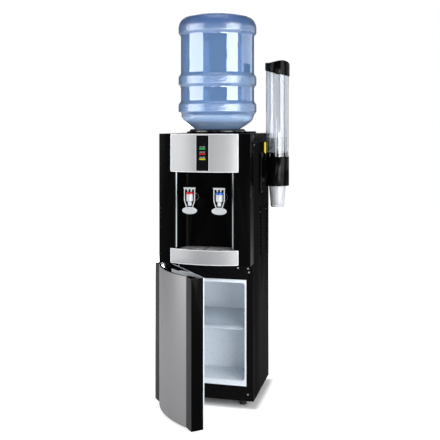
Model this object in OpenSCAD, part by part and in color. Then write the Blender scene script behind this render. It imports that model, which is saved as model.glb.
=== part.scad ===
/* [Cabinet] */
// Width of the cabinet over its side panels
cab_w = 306; // [296:1:340]
// Depth of the lower cabinet, from its front frame to its back
cab_d = 276; // [270:1:320]
// Height of the cabinet's top face above the floor
cab_h = 892; // [880:1:940]
// Height of the fridge section, from the cabinet's bottom edge to the upper shell
fridge_h = 448; // [440:1:460]
// Thickness of the steel side and back sheets
sheet_t = 1.5; // [1:0.1:2]
// Wall of the moulded black plastic pieces
shell_wall = 3; // [2.5:0.1:3.5]

/* [Feet and base] */
// Height of the feet
foot_h = 20; // [16:1:24]
// Radius of a foot
foot_r = 12; // [8:0.5:16]
// How far each foot's centre is set in from the cabinet's sides
foot_inset_x = 41; // [30:1:50]
// How far each foot's centre is set in from the cabinet's front and back
foot_inset_y = 30; // [20:1:50]
// Thickness of the base plate
base_t = 3; // [2:0.5:5]

/* [Upper shell] */
// How far the flat pillars stand in front of the fridge section
shell_reach = 50; // [46:1:60]
// Height of the head above the alcove
head_h = 124; // [110:1:126]
// Width of the bowed front pieces
bow_w = 228; // [210:1:236]
// How far the bowed front pieces stand out at their middle
bow_h = 22; // [16:1:26]
// Width of the alcove at its mouth
alcove_w = 184; // [176:1:190]
// Width of the alcove's back wall
alcove_back_w = 164; // [160:1:170]
// Depth of the alcove from the pillars to its back wall
alcove_d = 72; // [68:1:74]
// Radius of the pillars' inner edges
pillar_r = 8; // [4:0.5:10]

/* [Silver front panel] */
// Thickness of the silver facing plates
plate_t = 2; // [1.5:0.1:2.5]
// Width of the black display window
window_w = 41.6; // [36:0.2:46]
// Silver border above and below the window
window_edge = 4.5; // [3:0.1:8]
// Width of an indicator light
lamp_w = 21; // [16:0.5:24]
// Height of an indicator light
lamp_h = 6.5; // [5:0.1:8]
// Spacing of the indicator lights
lamp_pitch = 16.6; // [14:0.1:20]

/* [Taps] */
// Distance of each tap from the middle
tap_x = 49.5; // [44:0.5:55]
// Height of the tap's barrel below the alcove's ceiling
tap_drop = 87; // [85:1:100]
// Radius of the tap's body
tap_r = 11.5; // [11:0.1:12]
// Radius of the coloured ring
ring_r = 13.2; // [12.6:0.1:14.2]
// Radius of the nozzle
nozzle_r = 6.6; // [6:0.1:7]
// Width of the lever's loop
loop_w = 37.6; // [37:0.1:40]
// Width of the push paddle
paddle_w = 50; // [46:1:54]
// Height of the push paddle
paddle_h = 24; // [20:0.5:28]

/* [Drip tray] */
// Height of the tray's silver front
tray_h = 48; // [44:1:52]
// Thickness of the lift-off grille
grille_t = 3; // [2:0.5:4]

/* [Fridge compartment] */
// Width of the black frame at each side of the fridge opening
frame_side = 24; // [22:0.5:28]
// Height of the black frame below the opening
frame_low = 47.7; // [44:0.1:52]
// Height of the black frame above the opening
frame_high = 53.5; // [50:0.1:60]
// Wall of the moulded white liner
liner_t = 2; // [1.5:0.1:2.5]
// Thickness of the shelf
shelf_t = 6; // [4:0.5:8]

/* [Door] */
// Thickness of the door at its flat margins
door_t = 42; // [38:1:44]
// Width of the flat margins beside the silver front
door_margin = 38; // [34:1:42]
// Angle at which the door stands open
door_open = 51; // [0:1:100]
// Radius of the hinge pins
hinge_r = 4; // [3:0.1:5]
// Running clearance of the moving pins
pin_gap = 0.06; // [0.03:0.01:0.1]

/* [Bottle] */
// Radius of the bottle's rings
bottle_r = 134.7; // [130:0.1:138]
// Depth of the grooves between the rings
groove_h = 8; // [5:0.5:10]
// Height of the bottle above the cabinet's top face
bottle_rise = 404.5; // [388:0.5:418]
// Wall of the bottle
bottle_t = 1.6; // [1.2:0.1:2.4]
// Radius of the bottle's neck
neck_r = 27.5; // [25:0.5:29]
// Radius of the black collar that the bottle stands in
collar_r = 98; // [96:0.5:102]

/* [Tanks] */
// Radius of the cold tank
cold_r = 68; // [60:1:70]
// Height of the cold tank, in proportion to the hot tank below it
cold_h = 180; // [160:1:190]
// Radius of the hot tank
hot_r = 42; // [36:1:44]
// Height of the hot tank, in proportion to the cold tank above it
hot_h = 114; // [90:1:118]

/* [Cup holder] */
// Radius of the clear tube
tube_r = 38.8; // [37:0.1:42]
// Length of the clear tube above the collar
tube_len = 306; // [280:1:320]
// Gap between the cabinet's side and the clear tube
tube_gap = 17.7; // [15:0.1:22]
// Height of the black collar that holds the tube
cup_collar_h = 98; // [90:1:104]
// Rim radius of a cup
cup_r = 35; // [34:0.1:35.2]
// Height of a cup
cup_h = 138; // [130:1:144]
// Number of cups stacked above the lowest one
cup_count = 9; // [3:1:12]

/* [Hidden] */
$fn = 64;

// Shared clearances and the overrun of the cuts
cut = 1;
fit = 0.3;
slip = 0.1;

// Planes of the cabinet
half_w = cab_w / 2;
front_y = -cab_d / 2;
back_y = cab_d / 2;
in_x = half_w - sheet_t;
frame_t = 3;
frame_in_y = front_y + frame_t;
in_back_y = back_y - sheet_t;
base_z = foot_h;
shell_z = foot_h + fridge_h;
deck_t = 2;
skirt_h = 30;
skirt_z = cab_h - skirt_h;
flat_y = front_y - shell_reach;
alcove_y = flat_y + alcove_d;
alcove_z = cab_h - head_h;
floor_z = shell_z + shell_wall;
black = "#161616";
silver = "#c8c8c8";

// Bottle axis, behind the alcove by the cold tank's jacket and its clearance
jacket_gap = 8;
jacket_t = 14;
jacket_r = cold_r + jacket_gap + jacket_t;
jacket_clear = 13;
bottle_y = alcove_y + shell_wall + jacket_clear + jacket_r;
seat_slope_share = 0.65;

// Fridge opening, its cavity and the machine bay behind it
open_x = half_w - frame_side;
open_low = base_z + frame_low;
open_high = shell_z - frame_high;
lip_side = 6;
lip_low = 17.7;
lip_high = 10.5;
cavity_x = open_x - lip_side;
cavity_low = open_low + lip_low;
cavity_high = open_high - lip_high;
foam_t = 25;
bay_d = 119;
bay_h = 195;
bay_y = in_back_y - bay_d;
bay_z = base_z + bay_h;
cavity_back = in_back_y - foam_t - liner_t;
cavity_low_back = bay_y - foam_t - liner_t;
cavity_step = bay_z + foam_t + liner_t;
rim_h = 10;
rim_t = 2;

// Door in its closed place
gasket_t = 5;
door_gap = 2;
door_back_y = front_y - gasket_t;
door_flange_t = 3;
door_flange_y = door_back_y - door_flange_t;
door_flat_y = door_back_y - door_t;
door_drop = 6.2;
door_low = base_z - door_drop;
door_high = shell_z - door_gap;
door_skin = 1.5;
door_bow_w = cab_w - 2 * door_margin;
pivot_x = -half_w + 2 * hinge_r;
pivot_y = door_back_y - 3 * hinge_r;
pin_depth = 13;
boss_w = 18;

function along(a, b) = (b - a) / norm(b - a);

// Points of an arc about c
function arc(c, r, from, to, n) =
    [for (i = [0:n]) c + r * [cos(from + (to - from) * i / n), sin(from + (to - from) * i / n)]];

// Points that round the corner at q, between p and s, to radius r
function corner(p, q, s, r, n = 6) =
    let (u = along(q, p), v = along(q, s), half = acos(u * v) / 2)
    let (c = q + along([0, 0], u + v) * r / sin(half), reach = r / tan(half))
    let (a = q + u * reach - c, b = q + v * reach - c)
    let (from = atan2(a[1], a[0]), turn = atan2(a[0] * b[1] - a[1] * b[0], a * b))
    arc(c, r, from, from + turn, n);

// A closed outline of [x, y, radius] points with its corners rounded
function rounded(pts) =
    let (n = len(pts))
    [for (i = [0:n - 1])
        let (p = pts[(i + n - 1) % n], q = pts[i], s = pts[(i + 1) % n])
        each (q[2] > 0
            ? corner([p[0], p[1]], [q[0], q[1]], [s[0], s[1]], q[2])
            : [[q[0], q[1]]])];

// The bowed front line, from left to right, of chord w and rise h at depth y
function bow(w, h, y, n = 32) =
    let (r = (w * w / 4 + h * h) / (2 * h), half = asin(w / 2 / r))
    arc([0, y - h + r], r, -90 - half, -90 + half, n);

// A line of points moved sideways by t, each along its own normal
function inset(pts, t) =
    [for (i = [0:len(pts) - 1])
        let (a = pts[max(i - 1, 0)], b = pts[min(i + 1, len(pts) - 1)], d = along(a, b))
        [max(pts[i][0] + d[1] * t, 0), pts[i][1] - d[0] * t]];

function reversed(pts) = [for (i = [len(pts) - 1:-1:0]) pts[i]];

module block(a, b) {
    translate(a) cube(b - a);
}

module slab(pts, low, high) {
    translate([0, 0, low]) linear_extrude(high - low) polygon(pts);
}

module rod(a, b, r) {
    d = b - a;
    turn = atan2(norm([d[0], d[1]]), d[2]);
    translate(a) rotate([0, turn, atan2(d[1], d[0])]) cylinder(h = norm(d), r = r);
}

// A tube laid along straight runs with ball corners
module pipe(pts, r) {
    for (i = [0:len(pts) - 2]) rod(pts[i], pts[i + 1], r);
    for (i = [1:len(pts) - 2]) translate(pts[i]) sphere(r);
}

module ring(r_in, r_out, low, high) {
    difference() {
        translate([0, 0, low]) cylinder(h = high - low, r = r_out);
        translate([0, 0, low - cut]) cylinder(h = high - low + 2 * cut, r = r_in);
    }
}

module both_sides() {
    children();
    mirror([1, 0, 0]) children();
}

module door_place() {
    translate([pivot_x, pivot_y, 0]) rotate([0, 0, -door_open])
        translate([-pivot_x, -pivot_y, 0]) children();
}

// Base, panels and deck

module base_frame() {
    color("#2a2a2a") difference() {
        block([-in_x, frame_in_y, base_z], [in_x, in_back_y, base_z + base_t + rim_h]);
        block([-in_x + rim_t, frame_in_y + rim_t, base_z + base_t],
            [in_x - rim_t, in_back_y - rim_t, base_z + base_t + rim_h + cut]);
    }
}

foot_pad_h = 4;
foot_step = 1.5;

module feet() {
    color("#111111") for (x = [-1, 1], y = [-1, 1])
        translate([x * (half_w - foot_inset_x), y * (back_y - foot_inset_y), 0]) {
            cylinder(h = foot_pad_h, r = foot_r);
            translate([0, 0, foot_pad_h]) cylinder(h = foot_h - foot_pad_h, r = foot_r - foot_step);
        }
}

louvre_w = 28;
louvre_h = 5;
louvre_pitch = 12;
louvre_rows = 14;
louvre_low = 11;
louvre_y = [-14, 87];
rib_y = [-88, -58];
rib_w = 8;
rib_h = 1;

module side_panel() {
    difference() {
        union() {
            block([in_x, frame_in_y, base_z], [half_w, back_y, skirt_z]);
            for (y = rib_y)
                translate([half_w, y, base_z]) linear_extrude(skirt_z - base_z)
                    polygon([[-sheet_t / 2, -rib_w / 2], [0, -rib_w / 2], [rib_h, -rib_w / 4],
                        [rib_h, rib_w / 4], [0, rib_w / 2], [-sheet_t / 2, rib_w / 2]]);
        }
        for (y = louvre_y, row = [0:louvre_rows - 1])
            translate([0, 0, shell_z + louvre_low + row * louvre_pitch])
                block([in_x - cut, y - louvre_w / 2, 0],
                    [half_w + cut, y + louvre_w / 2, louvre_h]);
    }
}

module side_panel_left() {
    color("#242424") mirror([1, 0, 0]) side_panel();
}

module side_panel_right() {
    color("#242424") side_panel();
}

switch_x = [72, 104];
switch_rise = 190;
switch_z = shell_z + switch_rise;
switch_w = 21;
switch_h = 26;
gland_x = -100;
gland_rise = 52;
gland_z = shell_z + gland_rise;
gland_r = 7;
drain_rise = 20;
drain_z = shell_z + drain_rise;
drain_r = 6;
hot_x = -tap_x;
vent_rows = 9;
vent_w = 150;

module rear_panel() {
    color("#2c2c2c") difference() {
        block([-in_x, in_back_y, bay_z], [in_x, back_y, skirt_z]);
        for (x = switch_x)
            block([x - switch_w / 2 - slip, in_back_y - cut, switch_z - switch_h / 2 - slip],
                [x + switch_w / 2 + slip, back_y + cut, switch_z + switch_h / 2 + slip]);
        rod([gland_x, in_back_y - cut, gland_z], [gland_x, back_y + cut, gland_z], gland_r + slip);
        rod([hot_x, in_back_y - cut, drain_z], [hot_x, back_y + cut, drain_z], drain_r + slip);
        for (row = [0:vent_rows - 1])
            block([-vent_w / 2, in_back_y - cut, skirt_z - (row + 2) * louvre_pitch],
                [vent_w / 2, back_y + cut, skirt_z - (row + 2) * louvre_pitch + louvre_h]);
    }
}

bay_slot_rows = 10;
bay_slot_w = 74;
bay_slot_x = 56;
pipe_r = 3;
coil_x = 110;
coil_gap = 14;
coil_y = back_y + coil_gap;
coil_rise = 25;
coil_low = bay_z + coil_rise;
coil_pitch = 32;
coil_rows = 7;
discharge_drop = 60;
discharge_z = bay_z - discharge_drop;

module rear_grille() {
    color("#303030") difference() {
        block([-in_x, in_back_y, base_z + base_t + rim_h], [in_x, back_y, bay_z]);
        for (row = [1:bay_slot_rows], side = [-1, 1])
            translate([side * bay_slot_x, 0, base_z + base_t + rim_h + row * louvre_pitch])
                block([-bay_slot_w / 2, in_back_y - cut, 0],
                    [bay_slot_w / 2, back_y + cut, louvre_h]);
        rod([coil_x, in_back_y - cut, discharge_z], [coil_x, back_y + cut, discharge_z],
            pipe_r + slip);
    }
}

module deck_plate() {
    color("#8a8a8a") block([-in_x, frame_in_y, shell_z - deck_t], [in_x, in_back_y, shell_z]);
}

// Upper front shell with the alcove

alcove_corner = 12;
alcove_left = [[-alcove_w / 2, flat_y + pillar_r], [-alcove_back_w / 2, alcove_y]];

// Outline of the alcove's hollow: open forward, with rounded pillar edges
function alcove_plan() = concat(
    [[-alcove_w / 2 - pillar_r, flat_y - cut]],
    arc([-alcove_w / 2 - pillar_r, flat_y + pillar_r], pillar_r, -90, 0, 8),
    corner(alcove_left[0], alcove_left[1], [0, alcove_y], alcove_corner),
    corner([0, alcove_y], [alcove_back_w / 2, alcove_y],
        [alcove_w / 2, flat_y + pillar_r], alcove_corner),
    arc([alcove_w / 2 + pillar_r, flat_y + pillar_r], pillar_r, 180, 270, 8),
    [[alcove_w / 2 + pillar_r, flat_y - cut]]);

// Outline of the head, whose bow lies one plate behind the silver panel
function head_plan(t, side) = concat(
    [[-side, frame_in_y], [-side, flat_y + t], [-bow_w / 2, flat_y + t]],
    bow(bow_w, bow_h, flat_y + plate_t + t),
    [[bow_w / 2, flat_y + t], [side, flat_y + t], [side, frame_in_y]]);

barrel_r = 7.5;
tap_z = alcove_z - tap_drop;

module front_shell() {
    wall_x = alcove_w / 2 + shell_wall;
    color(black) difference() {
        union() {
            slab(head_plan(0, half_w), alcove_z, cab_h);
            block([-half_w, flat_y, shell_z], [half_w, frame_in_y, alcove_z]);
            block([-wall_x, frame_in_y - cut, shell_z],
                [wall_x, alcove_y + shell_wall, alcove_z + shell_wall]);
        }
        slab(concat([[-half_w + shell_wall, frame_in_y + cut]],
            [for (p = head_plan(shell_wall, half_w - shell_wall)) p],
            [[half_w - shell_wall, frame_in_y + cut]]),
            alcove_z + shell_wall, cab_h - shell_wall);
        slab(alcove_plan(), floor_z, alcove_z);
        both_sides() block([wall_x + pillar_r / 2, flat_y + shell_wall, floor_z],
            [half_w - shell_wall, frame_in_y + cut, alcove_z + cut]);
        both_sides() rod([tap_x, alcove_y - cut, tap_z], [tap_x, alcove_y + 2 * shell_wall, tap_z],
            barrel_r + slip);
        translate([pivot_x, pivot_y, shell_z - cut])
            cylinder(h = shell_wall + 2 * cut, r = hinge_r + slip);
    }
}

screw_r = 1.6;
screw_head_r = 2.6;
screw_head_t = 1.2;
screw_in = [18.6, 15.3, 52, 18.6];
screw_drop = [16, 28, 15, 426.6];

module screw_places() {
    both_sides() for (i = [0:3]) translate([half_w - screw_in[i], 0, shell_z - screw_drop[i]])
        children();
}

module lower_frame() {
    color(black) difference() {
        block([-half_w, front_y, base_z], [half_w, frame_in_y, shell_z]);
        block([-open_x - fit, front_y - cut, open_low - fit],
            [open_x + fit, frame_in_y + cut, open_high + fit]);
        screw_places() {
            rod([0, front_y - cut, 0], [0, frame_in_y + cut, 0], screw_r);
            rod([0, front_y - cut, 0], [0, front_y + screw_head_t, 0], screw_head_r + slip);
        }
    }
}

platform_w = 214;
platform_d = 159;
platform_h = 6;
cover_t = 2.5;
seat_hole_r = 90;

module top_cover() {
    color("#1c1c1c") difference() {
        union() {
            block([-half_w, frame_in_y, skirt_z], [half_w, back_y, cab_h]);
            block([-platform_w / 2, back_y - platform_d, cab_h - cover_t],
                [platform_w / 2, back_y, cab_h + platform_h]);
        }
        block([-half_w + cover_t, frame_in_y - cut, skirt_z - cut],
            [half_w - cover_t, back_y - cover_t, cab_h - cover_t]);
        translate([0, bottle_y, skirt_z]) cylinder(h = skirt_h + platform_h + cut, r = seat_hole_r);
        translate([0, bottle_y, cab_h]) cylinder(h = platform_h + cut, r = collar_r + fit);
    }
}

// Bottle seat

collar_h = 15;
collar_round = 4;
collar_wall = 3;
seat_r = 79;
throat_r = 36;
throat_drop = 67.7;
throat_low = cab_h - throat_drop;
flange_h = 4;
tank_top = throat_low - fit - flange_h;

// Height of the bottle's shoulder at radius r
function shoulder_z(r) = cab_h + collar_h + fit + seat_slope_share * (r - seat_r);

module bottle_collar() {
    t = collar_wall;
    rim = cab_h + collar_h;
    low = throat_low;
    color(black) translate([0, bottle_y, 0]) rotate_extrude($fn = 96) polygon(concat(
        [[collar_r, cab_h], [collar_r, rim - collar_round]],
        arc([collar_r - collar_round, rim - collar_round], collar_round, 0, 90, 5),
        [[seat_r + t, rim], [seat_r, shoulder_z(seat_r) - fit],
            [throat_r + t, shoulder_z(throat_r + t) - fit],
            [throat_r, shoulder_z(throat_r) - t - fit], [throat_r, low],
            [throat_r + t, low], [throat_r + t, shoulder_z(throat_r) - 2 * t],
            [seat_r, shoulder_z(seat_r) - 1.5 * t],
            [collar_r - 2 * t, rim - 1.5 * t], [collar_r - t, rim - 2 * t],
            [collar_r - t, cab_h]]));
}

probe_r = 8;
probe_h = 60;
probe_bore = 4;
flange_r = 46;

module feed_probe() {
    color("#e8e8e8") translate([0, bottle_y, tank_top]) rotate_extrude($fn = 64) polygon(concat(
        [[probe_bore, 0], [flange_r, 0], [flange_r, flange_h], [probe_r, flange_h]],
        arc([probe_bore, flange_h + probe_h - probe_bore], probe_r - probe_bore, 0, 90, 6)));
}

// Silver panel, window and lights

function plate_plan() = concat(bow(bow_w, bow_h, flat_y), reversed(bow(bow_w, bow_h, flat_y + plate_t)));

module silver_panel() {
    color(silver) difference() {
        slab(plate_plan(), alcove_z, cab_h - slip);
        block([-window_w / 2, flat_y - 2 * bow_h, alcove_z + window_edge],
            [window_w / 2, flat_y, cab_h - window_edge]);
    }
}

lamp_drop = 43.5;
lamp_z = cab_h - window_edge - lamp_drop;

module lamp_place(i) {
    translate([0, 0, lamp_z - i * lamp_pitch]) children();
}

module display_window() {
    color("#0c0f10") difference() {
        intersection() {
            slab(plate_plan(), alcove_z + window_edge + slip, cab_h - window_edge - slip);
            block([-window_w / 2 + slip, flat_y - 2 * bow_h, alcove_z],
                [window_w / 2 - slip, flat_y, cab_h]);
        }
        for (i = [0:2]) lamp_place(i)
            block([-lamp_w / 2 - slip, flat_y - 2 * bow_h, -lamp_h / 2 - slip],
                [lamp_w / 2 + slip, flat_y, lamp_h / 2 + slip]);
    }
}

module indicator_lights() {
    lamp_colours = ["#2e9e2e", "#c22020", "#c8b820"];
    for (i = [0:2]) color(lamp_colours[i]) intersection() {
        slab(plate_plan(), alcove_z, cab_h);
        lamp_place(i) block([-lamp_w / 2, flat_y - 2 * bow_h, -lamp_h / 2],
            [lamp_w / 2, flat_y, lamp_h / 2]);
    }
}

// Taps: the body axis stands tap_y, the lever turns on a cross pin at lever_z

tap_set = 5.5;
tap_y = flat_y + tap_set;
lever_rise = 26;
lever_z = tap_z + lever_rise;
body_drop = 16;
body_low = tap_z - body_drop;
ring_rise = 14;
ring_z = tap_z + ring_rise;
ring_h = 7;
tap_pin_r = 2;
neck_top = lever_z + 1.2 * tap_pin_r;
tap_neck_r = 4;
nozzle_drop = 23;
nozzle_low = tap_z - nozzle_drop;
outlet_r = 4;
ear_in = 9.2;
ear_out = 12;
tail_reach = 15;
tail_end = alcove_y + tail_reach;
tail_r = 4.5;
rosette_r = 12.5;
rosette_t = 3;
sleeve_r = 9;
nut_r = 12;
nut_t = 6;

module tap_body() {
    difference() {
        union() {
            rod([0, alcove_y + shell_wall + 1.2 * nut_t, tap_z], [0, tap_y, tap_z], barrel_r);
            rod([0, tail_end, tap_z], [0, tap_y, tap_z], tail_r);
            translate([0, tap_y, 0]) rotate_extrude() polygon([
                [0, nozzle_low], [nozzle_r, nozzle_low], [nozzle_r, body_low - nozzle_r / 2],
                [tap_r, body_low], [tap_r, ring_z], [tap_neck_r, ring_z],
                [tap_neck_r, neck_top], [0, neck_top]]);
            rod([-ear_out, tap_y, lever_z], [ear_out, tap_y, lever_z], tap_pin_r);
        }
        translate([0, tap_y, nozzle_low - cut]) cylinder(h = tap_z - nozzle_low + cut, r = outlet_r);
        rod([0, tail_end + cut, tap_z], [0, tap_y, tap_z], tail_r / 2);
    }
}

module hot_tap_body() {
    color("#e6e8ea") translate([-tap_x, 0, 0]) tap_body();
}

module cold_tap_body() {
    color("#e6e8ea") translate([tap_x, 0, 0]) tap_body();
}

module tap_ring() {
    translate([0, tap_y, 0]) ring(tap_neck_r + slip, ring_r, ring_z, ring_z + ring_h);
}

module hot_tap_ring() {
    color("#c81818") translate([-tap_x, 0, 0]) tap_ring();
}

module cold_tap_ring() {
    color("#1a5fd0") translate([tap_x, 0, 0]) tap_ring();
}

loop_t = 3.3;
loop_deep = 3;
bar_w = 41;
bar_rise = 30;
bar_low = tap_z + bar_rise;
bar_h = 6.5;
bar_high = bar_low + bar_h;
loop_drop = 33;
loop_low = tap_z - loop_drop;
paddle_drop = 39;
paddle_z = tap_z - paddle_drop;
knee_drop = 9;
knee_r = 16;
toe_r = 7;
strut_x = tap_neck_r + 2 * fit;
strut_low = ring_z + ring_h + loop_deep / 2;

// Outline of the loop's U, inset by t
function loop_plan(t) =
    let (x = loop_w / 2 - t, knee = tap_z - knee_drop, toe = loop_low + t)
    rounded([[-x, bar_low + t, 0], [-x, knee, knee_r - t], [-loop_w / 7, toe, toe_r - t / 2],
        [loop_w / 7, toe, toe_r - t / 2], [x, knee, knee_r - t], [x, bar_low + t, 0]]);

module upright(low, high) {
    translate([0, high, 0]) rotate([90, 0, 0]) linear_extrude(high - low) children();
}

module tap_lever() {
    face = flat_y;
    upright(face, face + loop_deep) difference() {
        polygon(loop_plan(0));
        polygon(loop_plan(loop_t));
    }
    upright(face, face + 1.5 * loop_deep)
        polygon([[-bar_w / 2, bar_high], [-loop_w / 2, bar_low], [loop_w / 2, bar_low],
            [bar_w / 2, bar_high]]);
    both_sides() upright(face, face + loop_deep)
        polygon([[loop_w / 3, bar_low + loop_t], [loop_w / 3 - loop_t, bar_low + loop_t],
            [strut_x, strut_low], [strut_x + loop_t, strut_low]]);
    both_sides() difference() {
        union() {
            rod([ear_in, tap_y, lever_z], [ear_out, tap_y, lever_z], 2.3 * tap_pin_r);
            block([ear_in, face, lever_z - tap_pin_r], [ear_out, tap_y, bar_low + loop_t / 3]);
        }
        rod([ear_in - cut, tap_y, lever_z], [ear_out + cut, tap_y, lever_z], tap_pin_r + pin_gap);
    }
    translate([0, face + loop_deep / 2, paddle_z]) intersection() {
        rotate([90, 0, 0]) translate([0, 0, -1.5 * loop_deep])
            linear_extrude(loop_deep) polygon(
                [for (i = [0:39]) [paddle_w / 2 * cos(9 * i), paddle_h / 2 * sin(9 * i)]]);
        block([-paddle_w, 0, -paddle_h], [paddle_w, 2 * loop_deep, paddle_h]);
    }
}

module hot_tap_lever() {
    color("#f0f2f4") translate([-tap_x, 0, 0]) tap_lever();
}

module cold_tap_lever() {
    color("#f0f2f4") translate([tap_x, 0, 0]) tap_lever();
}

module tap_rosettes() {
    sleeve_y = tap_y + tap_r + fit;
    color("#0d0d0d") both_sides() difference() {
        union() {
            rod([tap_x, alcove_y - rosette_t, tap_z], [tap_x, alcove_y, tap_z], rosette_r);
            rod([tap_x, sleeve_y, tap_z], [tap_x, alcove_y, tap_z], sleeve_r);
        }
        rod([tap_x, sleeve_y - cut, tap_z], [tap_x, alcove_y + cut, tap_z], barrel_r + slip);
    }
}

module tap_nuts() {
    nut_y = alcove_y + shell_wall;
    color("#d8d8d8") both_sides() difference() {
        translate([tap_x, nut_y + nut_t, tap_z]) rotate([90, 0, 0])
            cylinder(h = nut_t, r = nut_r, $fn = 6);
        rod([tap_x, nut_y - cut, tap_z], [tap_x, nut_y + nut_t + cut, tap_z], barrel_r + slip);
    }
}

// Drip tray

tray_face_y = flat_y - fit;
tray_gap = 2;
tray_low = shell_z + tray_gap;
tray_top = tray_low + tray_h;
tray_skin = 3.5;
tray_round = 10;
pan_wall = 2;
pan_low = floor_z + fit;
grille_low = tray_top - grille_t - tray_gap;

// Outline of the tray, inset by t from the alcove's walls and set forward by ahead
function tray_plan(t, ahead) =
    let (mouth = alcove_w / 2 - tray_gap - t, back = alcove_back_w / 2 - tray_gap - t)
    let (rear = alcove_y - tray_gap - t)
    let (chord = bow_w - 2 * tray_skin - 2 * t - 2 * slip)
    concat([[mouth, tray_face_y - ahead]], [[mouth, flat_y + pillar_r - t]],
        corner([mouth, flat_y + pillar_r], [back, rear], [0, rear], tray_round),
        corner([0, rear], [-back, rear], [-mouth, flat_y + pillar_r], tray_round),
        [[-mouth, flat_y + pillar_r - t], [-mouth, tray_face_y - ahead]],
        bow(chord, bow_h - tray_skin - slip - t / 2, tray_face_y - ahead));

module drip_tray_pan() {
    color("#121212") difference() {
        slab(tray_plan(0, 0), pan_low, grille_low);
        slab(tray_plan(pan_wall, pan_wall), pan_low + pan_wall, grille_low + cut);
    }
}

module drip_tray_front() {
    color(silver) slab(concat(bow(bow_w, bow_h, tray_face_y),
        reversed(bow(bow_w - 2 * tray_skin, bow_h - tray_skin, tray_face_y))), tray_low, tray_top);
}

drain_slot_w = 3;
drain_slot_l = 16;

module drip_grille() {
    slot = drain_slot_w;
    long = drain_slot_l;
    color("#b8bcc0") difference() {
        slab(tray_plan(slip, 0), grille_low, grille_low + grille_t);
        both_sides() for (i = [-3:3])
            translate([tap_x + 2 * slot * i, flat_y, grille_low - cut])
                block([-slot / 2, -long / 2, 0], [slot / 2, 2 * long, grille_t + 2 * cut]);
        block([-slot / 6, flat_y - bow_h, grille_low + grille_t - slot / 6],
            [slot / 6, alcove_y, grille_low + grille_t + cut]);
    }
}

// Fridge compartment

guide_rise = 62.6;
guide_pitch = 50;
guide_z = [for (i = [0:3]) cavity_low + guide_rise + guide_pitch * i];
guide_h = 7;
guide_d = 5;

module cavity(grow) {
    g = grow;
    block([-cavity_x - g, front_y + (g > 0 ? liner_t : -cut), cavity_low - g],
        [cavity_x + g, cavity_low_back + g, cavity_high + g]);
    block([-cavity_x - g, front_y + (g > 0 ? liner_t : -cut), cavity_step - g],
        [cavity_x + g, cavity_back + g, cavity_high + g]);
}

cavity_r = 10;

// Hollow of the liner: the cavity with the corners of its mouth rounded through its depth
module hollow() {
    x = cavity_x;
    intersection() {
        cavity(0);
        translate([0, cavity_back + cut, 0]) rotate([90, 0, 0])
            linear_extrude(cavity_back - front_y + 3 * cut)
                polygon(rounded([[-x, cavity_low, cavity_r], [x, cavity_low, cavity_r],
                    [x, cavity_high, cavity_r], [-x, cavity_high, cavity_r]]));
    }
}

module fridge_liner() {
    color("#dfe6ec") {
        difference() {
            union() {
                cavity(liner_t);
                block([-open_x, front_y, open_low], [open_x, front_y + liner_t, open_high]);
            }
            hollow();
        }
        both_sides() for (z = guide_z)
            block([cavity_x - guide_d, front_y + 2 * guide_h, z],
                [cavity_x + liner_t / 2, cavity_low_back - 2 * guide_h, z + guide_h]);
    }
}

shelf_lip = 8;
shelf_side = 1;
shelf_set = 10;
shelf_rear = 5;
shelf_z = guide_z[2] + guide_h + fit;

module fridge_shelf() {
    x = cavity_x - shelf_side;
    lip_x = x - guide_d - shelf_side;
    front = front_y + shelf_set;
    color("#dce4ea", 0.6) {
        block([-x, front, shelf_z], [x, cavity_back - shelf_rear, shelf_z + shelf_t]);
        block([-lip_x, front, shelf_z - shelf_lip], [lip_x, front + shelf_t / 2, shelf_z]);
    }
}

evap_w = 180;
evap_h = 140;
evap_t = 4;
evap_rise = 10;
evap_z = cavity_step + evap_rise;
suction_x = 60;
suction_y = cavity_back + liner_t + pipe_r + 2 * slip;

module evaporator() {
    color("#b8b0a0") block([-evap_w / 2, cavity_back + liner_t, evap_z],
        [evap_w / 2, cavity_back + liner_t + evap_t, evap_z + evap_h]);
}

module fridge_foam() {
    low = base_z + base_t;
    color("#e8dcc0") difference() {
        union() {
            block([-in_x + rim_t, frame_in_y + rim_t, low], [in_x - rim_t, bay_y, low + rim_h]);
            block([-in_x, frame_in_y, low + rim_h], [in_x, in_back_y, shell_z - deck_t]);
        }
        block([-in_x - cut, bay_y, low - cut], [in_x + cut, in_back_y + cut, bay_z]);
        cavity(liner_t);
        block([-evap_w / 2, cavity_back, evap_z],
            [evap_w / 2, cavity_back + liner_t + evap_t, evap_z + evap_h]);
        rod([suction_x, suction_y, bay_z - cut], [suction_x, suction_y, evap_z + cut],
            pipe_r + slip);
    }
}

// Door, drawn closed and turned to where it stands

function door_plan(t, back) = concat(
    [[-half_w + t, back], [-half_w + t, door_flat_y + t], [-door_bow_w / 2, door_flat_y + t]],
    bow(door_bow_w, bow_h, door_flat_y + door_skin + t),
    [[door_bow_w / 2, door_flat_y + t], [half_w - t, door_flat_y + t], [half_w - t, back]]);

module door_bosses() {
    for (z = [door_low, door_high - boss_w])
        block([-half_w + shell_wall / 2, door_flat_y + shell_wall / 2, z],
            [-half_w + boss_w, door_flange_y, z + boss_w]);
}

module hinge_bores() {
    translate([pivot_x, pivot_y, 0]) {
        translate([0, 0, door_low - cut]) cylinder(h = pin_depth + cut, r = hinge_r + pin_gap);
        translate([0, 0, door_high - pin_depth])
            cylinder(h = pin_depth + cut, r = hinge_r + pin_gap);
    }
}

module door_shell() {
    t = shell_wall;
    color(black) door_place() difference() {
        union() {
            difference() {
                slab(door_plan(0, door_flange_y), door_low, door_high);
                slab(door_plan(t, door_flange_y + cut), door_low + t, door_high - t);
            }
            door_bosses();
        }
        hinge_bores();
    }
}

module door_panel() {
    color("#9c9c9c") door_place() slab(concat(bow(door_bow_w, bow_h, door_flat_y),
        reversed(bow(door_bow_w, bow_h, door_flat_y + door_skin))), door_low, door_high);
}

recess_margin = 40;
recess_d = 10;

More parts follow.
